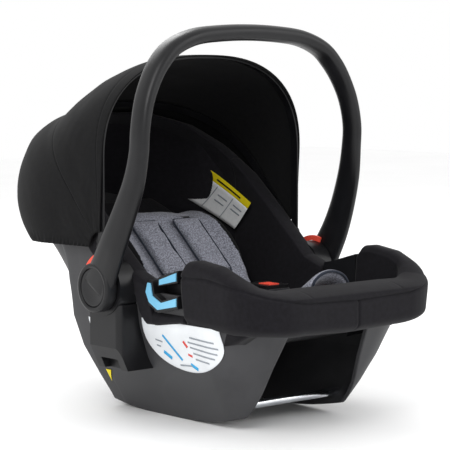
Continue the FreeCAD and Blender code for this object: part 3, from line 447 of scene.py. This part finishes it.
# oval film: along the wall by height from the lower arc of the oval to the cover's hem
def buildSideLabel():
    s = np.linspace(-0.999, 0.999, 90)[:, None]
    v = np.linspace(0, 1, 40)[None, :]
    y = sideLabel["centre"][0] + sideLabel["half"][0] * s + 0 * v
    lowArc = sideLabel["centre"][1] - sideLabel["half"][1] * np.sqrt(1 - s ** 2)
    z = lowArc + v * (sideLabel["top"] - lowArc)
    inset = sideLabel["inset"]
    x, yy = planPoint(shareAt(y, z, inset, True), z, inset, True)
    grids = [(np.stack([-x, yy, z], -1), 0)]
    for first, last in sideLabel["bars"]:
        grids.append((inkBar(-1, first, last, 2.0, sideLabel["ink"], True), 1))
    for first, last, width, mat in (((-118, 128), (-148, 96), 3.4, 2), ((-112, 104), (-126, 96), 5, 2),
                                    ((-164, 92), (-176, 86), 5, 2), ((-140, 88), (-166, 90), 2, 1),
                                    ((-160, 124), (-166, 116), 4, 3), ((-164, 106), (-172, 104), 3, 3),
                                    ((-100, 120), (-114, 118), 2, 1), ((-100, 112), (-108, 111), 2, 1)):
        grids.append((inkBar(-1, first, last, width, sideLabel["ink"], True), mat))
    obj = joinGrids("side_label_film", grids, [labelFilm, inkGrey, inkBlue, inkRed])
    solidify(obj, 0.35, 0)
    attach(obj, "seat")
    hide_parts("side_label")


buildSideLabel()
fabricLabel = {"corners": [(136, 337), (44, 283), (79, 241), (187, 291)], "inset": 31.5, "ink": 32.2, "band": 0.22}


# sewn-on satin label: a yellow band along its upper edge, plain bars below
def buildFabricLabel():
    c = np.array(fabricLabel["corners"], float)
    cut = fabricLabel["band"]
    mid = [c[0] + (c[3] - c[0]) * cut, c[1] + (c[2] - c[1]) * cut]
    grids = [(wallPatch(1, [c[0], c[1], mid[1], mid[0]], fabricLabel["inset"], False), 1),
             (wallPatch(1, [mid[0], mid[1], c[2], c[3]], fabricLabel["inset"], False), 0)]

    def spot(u, v):
        return (c[0] * (1 - u) + c[1] * u) * (1 - v) + (c[3] * (1 - u) + c[2] * u) * v
    for u in (0.38, 0.7):
        grids.append((inkBar(1, spot(u, 0.26), spot(u, 0.96), 1.4, fabricLabel["ink"], False), 2))
    for u, v in ((0.1, 0.42), (0.1, 0.56), (0.1, 0.7), (0.46, 0.45), (0.46, 0.62), (0.76, 0.42), (0.76, 0.56)):
        grids.append((inkBar(1, spot(u, v), spot(u + 0.18, v), 2.2, fabricLabel["ink"], False), 2))
    grids.append((inkBar(1, spot(0.3, 0.11), spot(0.8, 0.11), 2.6, fabricLabel["ink"], False), 3))
    obj = joinGrids("fabric_label_satin", grids, [labelSatin, labelYellow, inkGrey, bindingCloth])
    solidify(obj, 0.3, 0)
    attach(obj, "seat")
    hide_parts("fabric_label")


buildFabricLabel()


# the small stickers low on the near side
def buildStickers():
    grids = [(wallPatch(-1, [(38, 57), (63, 56), (57, 33), (56, 33)], -1.6, True), 0),
             (wallPatch(-1, [(32, 136), (48, 136), (48, 92), (32, 92)], -1.1, True), 1),
             (inkBar(-1, (36, 124), (44, 124), 5, -1.6, True), 2),
             (inkBar(-1, (36, 108), (44, 108), 8, -1.6, True), 2)]
    obj = joinGrids("shell_stickers", grids, [yellowFilm, labelFilm, inkBlue])
    solidify(obj, 0.3, 0)
    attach(obj, "seat")


buildStickers()
print("labels made")


panLine = [(-345, 184), (-298, 181), (-272, 160), (-230, 136), (-180, 116), (-120, 100), (-60, 95),
           (-10, 112), (50, 155), (110, 202), (170, 240), (230, 271), (345, 330)]

# padded covers: one closed profile carried round the bucket's rim
# profile: outer face from hem to top, rolled top, inner face down to the pan,
# and the flat lining back along the shell
def coverPiece(name, place, spec, mats=None):
    count = spec["columns"]
    u = np.linspace(-1, 1, count)[:, None]
    nOut, nTop, nIn = spec["rows"]
    sOut = np.linspace(0, 1, nOut)
    phi = np.linspace(0, np.pi, nTop + 2)[1:-1]
    sIn = np.linspace(0, 1, nIn)
    guess = np.full((count, 1), 200.0)
    for k in range(12):
        x, y = place(u, guess, 0)
        topZ = spec["top"](u, y)
        guess = 0.5 * guess + 0.5 * topZ
    hemZ = spec["hem"](u, y)
    roll = spec["roll"](u)
    outD, inD = spec["out"], spec["inside"](u)
    # rows of height and offset (positive is outward)
    zOut = hemZ + sOut * (topZ - roll - hemZ)
    dOut = 0.9 + (outD - 0.9) * np.sin(np.clip(sOut * (topZ - hemZ) / spec["swell"], 0, 1) * np.pi / 2) + 0 * u
    # under the foot bar the cloth rolls in towards the prow: a quarter oval at the hem
    tuck = spec.get("tuck", lambda u: 0 * u)(u)
    rise = np.clip((zOut - hemZ) / spec.get("tuckHeight", 18.0), 0, 1)
    dOut = dOut - tuck * (1 - np.sqrt(1 - (1 - rise) ** 2))
    mid, half = (outD - inD) / 2, (outD + inD) / 2
    power = 2 / 2.6
    zTop = topZ - roll + roll * np.sin(phi) ** power
    dTop = mid + half * np.sign(np.cos(phi)) * np.abs(np.cos(phi)) ** power
    # the top leans: lower at its outer side, higher at its inner side
    if "lean" in spec:
        zTop = zTop - spec["lean"](u) * np.cos(phi) * np.sin(phi)
    floorZ = np.minimum(spec["floor"](u, y), topZ - roll - 12)
    zIn = topZ - roll - sIn * (topZ - roll - floorZ)
    dIn = -inD + 0 * sIn
    z = np.hstack([zOut, zTop, zIn])
    d = np.hstack([dOut, dTop, dIn])
    x, y = place(u, z, 0)
    arc = np.cumsum(np.abs(np.gradient(x[:, nOut])) + np.abs(np.gradient(y[:, nOut])))[:, None]
    d = d + spec["detail"](u, arc, x, y, z, np.arange(z.shape[1])[None, :], nOut, nTop)
    # the lining: up the inside of the wall, over the rim and down to the hem
    rimZ = topZ - roll * 0.55
    hemIn = np.clip(tuck / 10, 0, 1)
    zBack = np.hstack([floorZ - 2, floorZ + 4, rimZ, rimZ, hemZ - 1.2 + 4 * hemIn])
    dBack = np.hstack([-inD, 0 * u - 6.2, 0 * u - 6.2, 0 * u + 0.5, dOut[:, :1] - 0.3])
    z = np.hstack([z, zBack])
    d = np.hstack([d, dBack])
    x, y = place(u, z, -d)
    y = spec["shift"](u, z, y) if "shift" in spec else y
    obj = faceOut(gridObject(name, np.stack([x, y, z], -1), mats or [coverKnit], closedV=True, capU=True))
    return obj, (x, y, z)


footSpec = {
    "columns": 330, "rows": (46, 26, 26), "out": 7.0, "swell": 16.0, "span": 0.347,
    "topTable": [(-345, 196), (-331, 197), (-300, 205), (-270, 219),
                 (-240, 231), (-200, 236), (-184, 234), (-174, 222)],
    "hemTable": [(0, 136), (0.13, 139), (0.2, 141), (0.27, 142), (0.31, 146), (0.349, 150)],
    "seamTable": [(0, 182), (0.12, 185), (0.19, 194), (0.25, 207), (0.3, 214), (0.349, 212)],
    "insideTable": [(0, 50), (0.1, 50), (0.2, 38), (0.27, 25), (0.349, 23)],
    "rollTable": [(0, 10), (0.13, 10), (0.2, 13), (0.27, 15), (0.349, 15)],
    "tuckTable": [(0, 26), (0.12, 26), (0.2, 20), (0.27, 9), (0.31, 2), (0.349, 0)],
    "leanTable": [(0, 5), (0.13, 5), (0.25, 3), (0.349, 1)],
    "foldDepth": 0.9, "topSeams": (-84.0, 84.0),
}


def footPlace(u, z, inset):
    p = np.abs(u) * footSpec["span"]
    x, y = planPoint(p + 0 * z, z + 0 * p, inset)
    return np.sign(u) * x, y


def footDetail(u, arc, x, y, z, row, nOut, nTop):
    p = np.abs(u) * footSpec["span"]
    seamZ = np.interp(p, *np.array(footSpec["seamTable"]).T)
    outer = (row < nOut + 9) * 1.0
    seam = groove(z - seamZ, 1.6) * outer * 2.6
    centre = groove(x, 1.4) * (row < nOut) * (z < seamZ) * 2.4
    tops = sum(groove(x - at, 1.4) for at in footSpec["topSeams"]) * (row >= nOut + 2) * (row < nOut + nTop) * 2.0
    side = groove(row - (nOut + nTop - 2), 0.8) * 1.2
    folds = rumple(arc, z, 3, 8, 16, 90) * footSpec["foldDepth"] + rumple(arc, z * 0.4, 11, 6, 10, 34) * 0.35
    return folds - seam - centre - side - tops


footSpec.update({
    "top": lambda u, y: np.interp(y, *np.array(footSpec["topTable"]).T),
    "hem": lambda u, y: np.interp(np.abs(u) * footSpec["span"], *np.array(footSpec["hemTable"]).T),
    "roll": lambda u: np.interp(np.abs(u) * footSpec["span"], *np.array(footSpec["rollTable"]).T),
    "tuck": lambda u: np.interp(np.abs(u) * footSpec["span"], *np.array(footSpec["tuckTable"]).T),
    "lean": lambda u: np.interp(np.abs(u) * footSpec["span"], *np.array(footSpec["leanTable"]).T),
    "inside": lambda u: np.interp(np.abs(u) * footSpec["span"], *np.array(footSpec["insideTable"]).T),
    "floor": lambda u, y: np.interp(y + 57, *np.array(panLine).T) + 6,
    "detail": footDetail,
})
footCover = coverPiece("foot_cover_cloth", footPlace, footSpec)[0]
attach(footCover, "seat")
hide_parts("foot_cover")

sideSpec = {
    "columns": 150, "rows": (34, 16, 40), "out": 6.4, "swell": 9.0, "front": -173.0, "rear": 89.0,
    "topTable": [(-175, 160), (-106, 160), (-102.5, 199), (-66, 212), (-16, 254), (38, 301), (84, 345), (140, 401),
                 (188, 420), (420, 420)],
    "hemTable": [(-175, 150), (-112, 140), (-88, 139), (-80, 150), (-74, 176), (-30, 196), (20, 226), (70, 280),
                 (110, 322), (160, 356), (230, 380), (420, 380)],
    "foldDepth": 1.0,
}


def sidePlaceFor(sign):
    def place(u, z, inset):
        y = sideSpec["front"] + (u + 1) / 2 * (sideSpec["rear"] - sideSpec["front"])
        x, yy = planPoint(shareAt(y, z), z + 0 * y, inset)
        return sign * np.minimum(x, 179.4), yy
    return place


def sideDetail(u, arc, x, y, z, row, nOut, nTop):
    piping = groove(row - (nOut + nTop - 3), 0.7) * 1.3 + groove(row - (nOut + 2), 0.7) * 0.8
    inner = np.clip((row - nOut - nTop) / 8, 0, 1)
    folds = rumple(arc, z, 21, 8, 18, 80) * (0.5 + 1.4 * inner)
    return folds * sideSpec["foldDepth"] - piping


sideSpec.update({
    "top": lambda u, y: np.interp(y, *np.array(sideSpec["topTable"]).T),
    "hem": lambda u, y: np.interp(y, *np.array(sideSpec["hemTable"]).T),
    "roll": lambda u: 8.0 + 0 * u,
    "inside": lambda u: 23.6 + 0 * u,
    "floor": lambda u, y: np.interp(y, *np.array(panLine).T) + 14,
    "detail": sideDetail,
})
for sign, side in ((1, "left"), (-1, "right")):
    cloth, grid = coverPiece("side_cover_cloth_" + side, sidePlaceFor(sign), sideSpec)
    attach(cloth, "seat")
    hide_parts("side_cover_" + side)

headSpec = {
    "columns": 330, "rows": (30, 18, 60), "out": 6.4, "swell": 9.0, "start": 90.4,
    "topTable": sideSpec["topTable"], "hemTable": sideSpec["hemTable"],
}


def headPlace(u, z, inset):
    first = shareAt(headSpec["start"], z)
    p = 1 - np.abs(u) * (1 - first)
    x, y = planPoint(p, z + 0 * u, inset)
    return np.sign(u) * np.where(np.abs(u) < 1e-9, 0, x), y


def headDetail(u, arc, x, y, z, row, nOut, nTop):
    piping = groove(row - (nOut + nTop - 3), 0.7) * 1.4 + groove(row - (nOut + 2), 0.7) * 0.8
    inner = np.clip((row - nOut - nTop) / 10, 0, 1)
    slanted = rumple(arc + z * 0.8, z * 0.5, 5, 7, 22, 90) * 3.4
    small = rumple(arc, z, 9, 8, 12, 40) * 1.0
    # the cloth lies flat under the sewn label
    flat = 1 - np.exp(-(((y - 130) / 75) ** 2 + ((z - 295) / 60) ** 2) ** 2) * (x > 0)
    return (slanted + small) * (0.25 + inner) * flat - piping


headSpec.update({
    "top": lambda u, y: np.interp(y, *np.array(headSpec["topTable"]).T),
    "hem": lambda u, y: np.interp(y, *np.array(headSpec["hemTable"]).T),
    "roll": lambda u: 8.0 + 0 * u,
    "inside": lambda u: 23.6 + 0 * u,
    "floor": lambda u, y: np.interp(y - 20, *np.array(panLine).T) + 14,
    "detail": headDetail,
})
headCover = coverPiece("head_cover_cloth", headPlace, headSpec)[0]
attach(headCover, "seat")
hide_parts("head_cover", "head_foam")
print("covers made")


# canopy: one sheet over two bows, gathered on elastic at the rear
canopy = {
    "pivotY": -10.0, "pivotZ": 240.0, "half": 187.4, "straight": 118.0,
    "square": 2.45, "rearSquare": 2.1, "cloth": 2.2,
    "clear": 5.0,
    "crown": [(-6, 236), (-3, 252), (0, 274), (3, 298), (6, 318), (9, 331), (12, 338), (16, 341), (22, 338),
              (30, 326), (38, 298), (43, 278), (48, 267.3),
              (55, 263), (66, 260.5), (77, 263), (86, 267), (94, 267)],
    "low": -1.0, "high": 92.8, "columns": 190, "rows": 200, "hemSeam": 87.0, "gather": 2.4,
}


# angle about the pivot by share along the arch: superellipse arch on straight legs, crown reach by angle
def canopyPoint(theta, s, inset=0.0):
    crown = smoothTable(theta, canopy["crown"], 7) - inset
    half = canopy["half"] - inset
    leg = 0.16
    k = np.clip((s - leg) / (1 - 2 * leg), 0, 1) * np.pi
    power = 2 / np.interp(theta, [8, 48], [canopy["rearSquare"], canopy["square"]])
    across = half * np.sign(np.cos(k)) * np.abs(np.cos(k)) ** power
    out = canopy["straight"] + (crown - canopy["straight"]) * np.sin(k) ** power
    near = np.minimum(s, 1 - s) / leg
    out = np.where(near < 1, 22 + (canopy["straight"] - 22) * np.clip(near, 0, 1), out)
    turn = np.radians(theta)
    return across, canopy["pivotY"] + out * np.cos(turn), canopy["pivotZ"] + out * np.sin(turn), out


def buildCanopy():
    theta = np.linspace(canopy["low"], canopy["high"], canopy["rows"])[:, None]
    s = np.linspace(0, 1, canopy["columns"])[None, :]
    x, y, z, out = canopyPoint(theta + 0 * s, s + 0 * theta)
    arcLength = s * 900
    free = np.sin(np.clip((theta - 48) / 39, 0, 1) * np.pi) + 0.8 * np.sin(np.clip((theta + 2) / 50, 0, 1) * np.pi)
    dent = rumple(arcLength, theta * 4.2, 31, 9, 24, 120) * 2.0 * free
    gather = np.sin(arcLength * 2 * np.pi / 13 + 1.5 * np.sin(arcLength / 40)) * canopy["gather"] * np.exp(
        -((theta - canopy["low"]) / 4.5) ** 2)
    seam = (groove(theta - canopy["hemSeam"], 0.28) * 0.8 + groove(theta - 48, 0.35) * 0.9
            + groove(theta - 92.2, 0.2) * 0.4)
    # the elastic draws the hem in over the shell: no point comes nearer to it than the clearance
    half = smoothTable(z, bucket["halfWidths"]) + canopy["clear"]
    reach = smoothTable(z, bucket["rearReaches"]) - bucket["widest"] + canopy["clear"]
    back = np.maximum(y - bucket["widest"], 0)
    inside = (np.abs(x) / half) ** bucket["square"] + (back / reach) ** bucket["square"]
    push = np.where((inside < 1) & (z < 400) & (y > bucket["widest"]), inside ** (-1 / bucket["square"]), 1)
    x, y = x * push, np.where(y > bucket["widest"], bucket["widest"] + back * push, y)
    shrink = 1 - (seam + 1.2 - dent - gather) / np.maximum(np.hypot(x, out), 60)
    x, y, z = (x * shrink, canopy["pivotY"] + (y - canopy["pivotY"]) * shrink,
               canopy["pivotZ"] + (z - canopy["pivotZ"]) * shrink)
    obj = gridObject("canopy_cloth", np.stack([x, y, z], -1), [canopyWeave], flip=False)
    return obj, (x, y, z)


canopyCloth, canopyGrid = buildCanopy()
u, v = np.diff(np.stack(canopyGrid, -1), axis=0)[:, :-1], np.diff(np.stack(canopyGrid, -1), axis=1)[:-1]
clothArea = np.linalg.norm(np.cross(u, v), axis=-1).sum() * mm * mm
print("canopy cloth area", round(float(clothArea), 3))
solidify(canopyCloth, canopy["cloth"] * 0.6, -1)
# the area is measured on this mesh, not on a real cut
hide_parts("canopy_hem", "canopy_front_panel", "canopy_rear_panel")
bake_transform(canopyCloth)
print("canopy made")


# carry handle: superellipse section along the bail
handleSpec = {
    "path": [(210.5, -35, 0, 1.0, 0.80), (210.5, -53, 28, 0.80, 0.80), (210.5, -71, 60, 0.60, 0.78),
             (207.5, -89, 98, 0.38, 0.76), (202.5, -106, 143, 0.15, 0.76), (199.5, -114, 184, -0.1, 0.78),
             (198.5, -116, 216, -0.15, 0.80), (191.5, -115, 251, -0.15, 0.86), (178.5, -113, 281, -0.1, 0.92),
             (161.5, -111, 306, 0.0, 0.98), (137.5, -110, 327, 0.0, 1.0), (100.5, -109, 341, 0.0, 1.0),
             (55.5, -109, 346.5, 0.0, 1.0), (0, -109, 348.5, 0.0, 1.0)],
    "gripWidth": 36.0, "hubWidth": 58.0, "thickness": 23.0, "square": 2.5, "sides": 56,
}


def buildHandle():
    rows = np.array(handleSpec["path"])
    mirror = rows[:-1] * np.array([-1, 1, 1, 1, 1])
    rows = curveThrough(np.vstack([mirror, rows[::-1]]), 10)
    place = np.stack([rows[:, 0], rows[:, 1], hubZ + rows[:, 2] * (537.5 - hubZ) / 348.5], -1)
    width = handleSpec["gripWidth"] + (handleSpec["hubWidth"] - handleSpec["gripWidth"]) * rows[:, 3:4]
    thick = handleSpec["thickness"] * rows[:, 4:5]
    along = np.gradient(place, axis=0)
    along /= np.linalg.norm(along, axis=1, keepdims=True)
    outward = place - np.array([0, hubY - 60, hubZ + 150])
    outward -= along * (outward * along).sum(1, keepdims=True)
    outward[:, 1] *= 0.15
    low = np.clip((place[:, 2:3] - hubZ - 90) / 80, 0, 1)
    sideways = np.stack([np.sign(place[:, 0]), 0 * place[:, 0], 0 * place[:, 0]], -1)
    outward = outward / np.linalg.norm(outward, axis=1, keepdims=True) * low + sideways * (1 - low)
    outward -= along * (outward * along).sum(1, keepdims=True)
    outward /= np.linalg.norm(outward, axis=1, keepdims=True)
    across = np.cross(along, outward)
    ang = np.linspace(0, 2 * np.pi, handleSpec["sides"], endpoint=False)
    power = 2 / handleSpec["square"]
    c = np.sign(np.cos(ang)) * np.abs(np.cos(ang)) ** power
    s = np.sign(np.sin(ang)) * np.abs(np.sin(ang)) ** power
    ring = (place[:, None] + outward[:, None] * (c[None, :, None] * thick[:, None] / 2)
            + across[:, None] * (s[None, :, None] * width[:, None] / 2))
    ring[..., 0] = np.clip(ring[..., 0], -219.6, 219.6)
    parts = [faceOut(gridObject("handle_bail", ring, [handlePlastic], closedV=True, capU=True))]
    # hub disc with a rolled rim and a round well for the button
    profile = [(201.2, 0.01), (201.2, 31), (202.2, 33.4), (204, 34), (217, 34),
               (219, 33.2), (219.9, 31.4), (220, 29.5),
               (219.4, 27.6), (218.4, 26.9), (211, 26.6), (208.7, 26.4), (208.7, 0.01)]
    for sign, side in ((1, "left"), (-1, "right")):
        parts.append(latheX("handle_hub_" + side, profile, (hubY, hubZ), handlePlastic, sign))
        dish = [(213.4, 0.01), (213.4, 25.4), (214.2, 26.1), (217.6, 26.1), (218.5, 25.5), (218.6, 24.4), (217.9, 20),
                (217.1, 14), (216.7, 8), (216.5, 0.01)]
        button = latheX("handle_button_dish_" + side, dish, (hubY, hubZ), buttonPlastic, sign)
        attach(button, "button_" + side)
        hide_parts("handle_button_" + side)
    for part in parts:
        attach(part, "handle")
    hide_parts("handle")


buildHandle()
print("handle made")

# pads grown from their CAD solids: remeshed, shrunk, blown up as cloth and capped, then smoothed
padSettings = {"voxel": 5.0, "shrink": 2.0, "pressure": 4.0, "frames": 20, "cap": 5.0}


def meshArray(mesh):
    out = np.empty(len(mesh.vertices) * 3)
    mesh.vertices.foreach_get("co", out)
    return out.reshape(-1, 3)


def bakedMesh(obj):
    mesh = bpy.data.meshes.new_from_object(obj.evaluated_get(bpy.context.evaluated_depsgraph_get()))
    obj.modifiers.clear()
    obj.data = mesh
    return mesh


def puffedPad(node, name, mats, voxel=None, cap=None, shrink=None):
    obj = bpy.data.objects.new(name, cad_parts[node].data.copy())
    bpy.context.collection.objects.link(obj)
    faceOut(obj)
    remesh = obj.modifiers.new("voxels", "REMESH")
    remesh.mode = "VOXEL"
    remesh.voxel_size = (voxel or padSettings["voxel"]) * mm
    soften = obj.modifiers.new("soften", "SMOOTH")
    soften.factor = 0.5
    soften.iterations = 6
    mesh = bakedMesh(obj)
    normals = np.empty(len(mesh.vertices) * 3)
    mesh.vertex_normals.foreach_get("vector", normals)
    start = meshArray(mesh)
    small = start - normals.reshape(-1, 3) * (padSettings["shrink"] if shrink is None else shrink) * mm
    mesh.vertices.foreach_set("co", small.reshape(-1))
    cloth = obj.modifiers.new("cloth", "CLOTH")
    cloth.settings.use_pressure = True
    cloth.settings.uniform_pressure_force = padSettings["pressure"]
    cloth.settings.effector_weights.gravity = 0
    cloth.point_cache.frame_start = 1
    cloth.point_cache.frame_end = padSettings["frames"]
    for k in range(1, padSettings["frames"] + 1):
        bpy.context.scene.frame_set(k)
    blown = meshArray(bakedMesh(obj))
    bpy.context.scene.frame_set(1)
    move = blown - small
    far = np.linalg.norm(move, axis=1, keepdims=True)
    limit = (cap or padSettings["cap"]) * mm
    small = small + move * np.minimum(1, limit / np.maximum(far, 1e-9))
    obj.data.vertices.foreach_set("co", small.reshape(-1))
    sub = obj.modifiers.new("smooth", "SUBSURF")
    sub.levels = sub.render_levels = 1
    mesh = bakedMesh(obj)
    mesh.materials.clear()
    for mat in mats:
        mesh.materials.append(mat)
    mesh.polygons.foreach_set("use_smooth", np.ones(len(mesh.polygons), bool))
    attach(obj, "seat")
    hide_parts(node)
    return obj


insertPad = puffedPad("infant_insert", "infant_insert_pad", [melangeJersey, bindingCloth])
# the insert's sides are the black binding, its top the melange: faces that look sideways take the binding
centres = np.empty(len(insertPad.data.polygons) * 3)
insertPad.data.polygons.foreach_get("center", centres)
looks = np.empty(len(centres))
insertPad.data.polygons.foreach_get("normal", looks)
centres, looks = centres.reshape(-1, 3) / mm, looks.reshape(-1, 3)
rimFace = (np.abs(centres[:, 0]) > 92) | (looks[:, 2] < 0.2)
insertPad.data.polygons.foreach_set("material_index", rimFace.astype(int))
puffedPad("seat_pad", "seat_pad_cloth", [coverKnit])
for side in ("left", "right"):
    pad = puffedPad("shoulder_pad_" + side, "shoulder_pad_cloth_" + side, [melangeJersey],
                    voxel=3.0, cap=3.0, shrink=1.0)
print("pads grown")

harness = {
    "shoulder": [(185.7, 232), (92, 263.2), (-3, 177.7), (-22, 173), (-105.7, 177)],
    "crotch": [(-226, 136.5), (-225, 146), (-190, 172), (-173.4, 183.5)],
    "pad": [(84, 256), (3, 183.1)], "padRise": 2.6, "padThick": 11.0, "padHalf": 25.0,
    "width": 38.0, "thickness": 1.6, "shoulderX": 40.0, "ridge": 0.18,
}


# flat webbing: the side-view path offset by its thickness, with fine ridges along it
def webbing(name, path, centreX, node):
    p = np.array(path, float)
    steps = np.concatenate([np.linspace(p[k], p[k + 1], 12, endpoint=False) for k in range(len(p) - 1)] + [p[-1:]])
    along = np.gradient(steps, axis=0)
    along /= np.linalg.norm(along, axis=1, keepdims=True)
    down = np.stack([along[:, 1], -along[:, 0]], -1)
    across = np.linspace(-1, 1, 39)
    ridge = harness["ridge"] * np.abs(np.sin(across * np.pi * 9))
    top = np.broadcast_to(across * harness["width"] / 2, (len(steps), 39))
    upper = steps[:, None] + down[:, None] * ridge[None, :, None]
    lower = steps[:, None] + down[:, None] * (harness["thickness"] - ridge)[None, ::-1, None]
    x = np.hstack([top, top[:, ::-1]]) + centreX
    yz = np.concatenate([upper, lower], 1)
    obj = faceOut(gridObject(name, np.dstack([x, yz[..., 0], yz[..., 1]]), [webbingCloth], closedV=True, capU=True))
    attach(obj, "seat")
    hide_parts(node)


webbing("shoulder_webbing_left", harness["shoulder"], harness["shoulderX"], "shoulder_strap_left")
webbing("shoulder_webbing_right", harness["shoulder"], -harness["shoulderX"], "shoulder_strap_right")
webbing("crotch_webbing", harness["crotch"], 0, "crotch_strap")
underY = np.linspace(-246, 185, 30)
underZ = np.interp(underY, *np.array(panLine).T) - 5.4
webbing("adjuster_webbing", [(-246, 150)] + list(zip(underY, underZ)), 0, "adjuster_strap")


# slate piping sewn along both long edges and the lower end of each shoulder pad
def padPiping(sign, side):
    (y0, z0), (y1, z1) = harness["pad"]
    run = np.array([y1 - y0, z1 - z0])
    run /= np.linalg.norm(run)
    up = np.array([-run[1], run[0]]) * (-1 if run[0] < 0 else 1)
    lift = harness["padRise"] + harness["padThick"] * 0.5
    half = harness["padHalf"]
    ends = [np.array([y0, z0]) + up * lift, np.array([y1, z1]) + up * lift]
    mid = sign * harness["shoulderX"]
    corners = [(mid - half, *ends[0]), (mid - half, *ends[1]), (mid + half, *ends[1]), (mid + half, *ends[0])]
    path = []
    for k in range(4):
        a, b = np.array(corners[k]), np.array(corners[(k + 1) % 4])
        path.append(a + (b - a) * np.linspace(0.06, 0.94, 14)[:, None])
    obj = tubeAlong("shoulder_piping_" + side, np.vstack(path), 1.5, bluishBinding, closed=True)
    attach(obj, "seat")


padPiping(1, "left")
padPiping(-1, "right")

crotchPad = {"tip": (0.0, -275.0, 193.0), "slope": math.radians(36), "length": 61.0, "outer": (39.0, 28.5),
             "inner": (28.5, 17.5), "piping": 2.0}


# arched tongue: a half-oval band carried down its slope, its thickness closing to nothing at both ends
def buildCrotchPad():
    t = np.linspace(0, 1, 46)[:, None]
    phi = np.linspace(0, np.pi, 60)[None, :]
    plump = np.maximum(1 - np.abs(2 * t - 1) ** 7, 0.0) ** 0.5
    edge = np.maximum(1 - np.abs(2 * phi / np.pi - 1) ** 24, 0.0) ** 0.5
    (ax, az), (bx, bz) = crotchPad["outer"], crotchPad["inner"]
    midX, midZ, halfX, halfZ = (ax + bx) / 2, (az + bz) / 2, (ax - bx) / 2, (az - bz) / 2
    rings = []
    for sign in (1, -1):
        rx, rz = midX + sign * halfX * plump * edge, midZ + sign * halfZ * plump * edge
        rings.append((rx * np.cos(phi), rz * np.sin(phi)))
    x = np.hstack([rings[0][0], rings[1][0][:, ::-1]])
    rise = np.hstack([rings[0][1], rings[1][1][:, ::-1]])
    slope = crotchPad["slope"]
    tip = crotchPad["tip"]
    y = tip[1] + t * crotchPad["length"] * math.cos(slope) + 0 * x
    z = tip[2] - t * crotchPad["length"] * math.sin(slope) + rise
    obj = faceOut(gridObject("crotch_pad_cloth", np.stack([x, y, z], -1), [melangeJersey], closedV=True, capU=True))
    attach(obj, "seat")
    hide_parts("crotch_pad")
    arc = np.linspace(0, np.pi, 50)
    path = np.stack([midX * np.cos(arc), np.full(50, tip[1] - 0.6), tip[2] + midZ * np.sin(arc)], -1)
    lip = tubeAlong("crotch_pad_piping", path, crotchPad["piping"], bluishBinding)
    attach(lip, "seat")


buildCrotchPad()
print("harness made")

# finishes of the CAD nodes that stay
finishes = {
    "seat_shell": shellPlastic, "rear_belt_hook": shellPlastic, "hub_boss": handlePlastic,
    "adapter_housing": handlePlastic, "belt_guide": nylonPlastic, "guide_upper_inlay": bluePlastic,
    "guide_lower_inlay": bluePlastic, "lock_ring": redPlastic, "front_crossbar": platedTube,
    "rear_crossbar": platedTube, "handle_pivot": platedTube, "button_spring": platedTube,
    "buckle_tongue": platedTube, "harness_yoke": platedTube, "canopy_pin": nylonPlastic,
    "canopy_front_bow": nylonPlastic, "canopy_mid_bow": nylonPlastic, "buckle_housing": nylonPlastic,
    "buckle_button": redPlastic, "harness_adjuster": nylonPlastic, "adjuster_button": redPlastic,
    "head_foam": foamStuff, "seat_pad": coverKnit, "infant_insert": melangeJersey, "crotch_pad": melangeJersey,
    "shoulder_pad": melangeJersey, "crotch_strap": webbingCloth, "adjuster_strap": webbingCloth,
    "shoulder_strap": webbingCloth, "side_label": labelFilm, "fabric_label": labelSatin,
    "foot_cover": coverKnit, "side_cover": coverKnit, "head_cover": coverKnit, "handle": handlePlastic,
    "handle_button": buttonPlastic, "canopy_hem": canopyWeave, "canopy_front_panel": canopyWeave,
    "canopy_rear_panel": canopyWeave,
}
for node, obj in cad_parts.items():
    stem = node.removesuffix("_left").removesuffix("_right")
    mat = finishes.get(node) or finishes[stem]
    obj.data.materials.clear()
    obj.data.materials.append(mat)

# floor, light and camera
stage = {"floor": 6.0, "camera": (-1.699, -2.014, 0.491), "look": (0.6536, 0.7518, -0.0872), "lens": 145.4}


def buildStage():
    edge = stage["floor"]
    floorMesh = bpy.data.meshes.new("studio_floor")
    floorMesh.from_pydata([(-edge, -edge, 0), (edge, -edge, 0), (edge, edge, 0), (-edge, edge, 0)], [], [(0, 1, 2, 3)])
    floor = bpy.data.objects.new("studio_floor", floorMesh)
    bpy.context.collection.objects.link(floor)
    mat, tree, shader, where = newMaterial("paintedStudioFloor", {"Roughness": 0.85})
    tint, _ = mottled(tree, where, "#fafafa", "#fcfcfc", 400)
    tree.links.new(tint, shader.inputs["Base Color"])
    floorMesh.materials.append(mat)
    world = bpy.data.worlds.new("studio")
    bpy.context.scene.world = world
    world.use_nodes = True
    world.node_tree.nodes["Background"].inputs["Color"].default_value = (1, 1, 1, 1)
    world.node_tree.nodes["Background"].inputs["Strength"].default_value = 1.0
    bpy.context.scene.view_settings.view_transform = "Standard"
    lights = [("key", (-2.2, -1.6, 2.3), 1.6, 42), ("fill", (1.8, -2.4, 1.6), 1.8, 20),
              ("rim", (0.6, 2.2, 2.2), 1.6, 30)]
    for name, place, span, power in lights:
        lamp = bpy.data.lights.new(name, "AREA")
        lamp.size = span
        lamp.energy = power
        obj = bpy.data.objects.new(name, lamp)
        obj.location = place
        obj.rotation_euler = (Vector((0, 0, 0.25)) - Vector(place)).to_track_quat("-Z", "Y").to_euler()
        bpy.context.collection.objects.link(obj)
    camData = bpy.data.cameras.new("camera")
    camData.lens = stage["lens"]
    camData.sensor_width = 36
    camData.clip_end = 30
    cam = bpy.data.objects.new("camera", camData)
    cam.location = stage["camera"]
    cam.rotation_euler = Vector(stage["look"]).to_track_quat("-Z", "Y").to_euler()
    bpy.context.collection.objects.link(cam)
    bpy.context.scene.camera = cam


buildStage()
print("stage made")
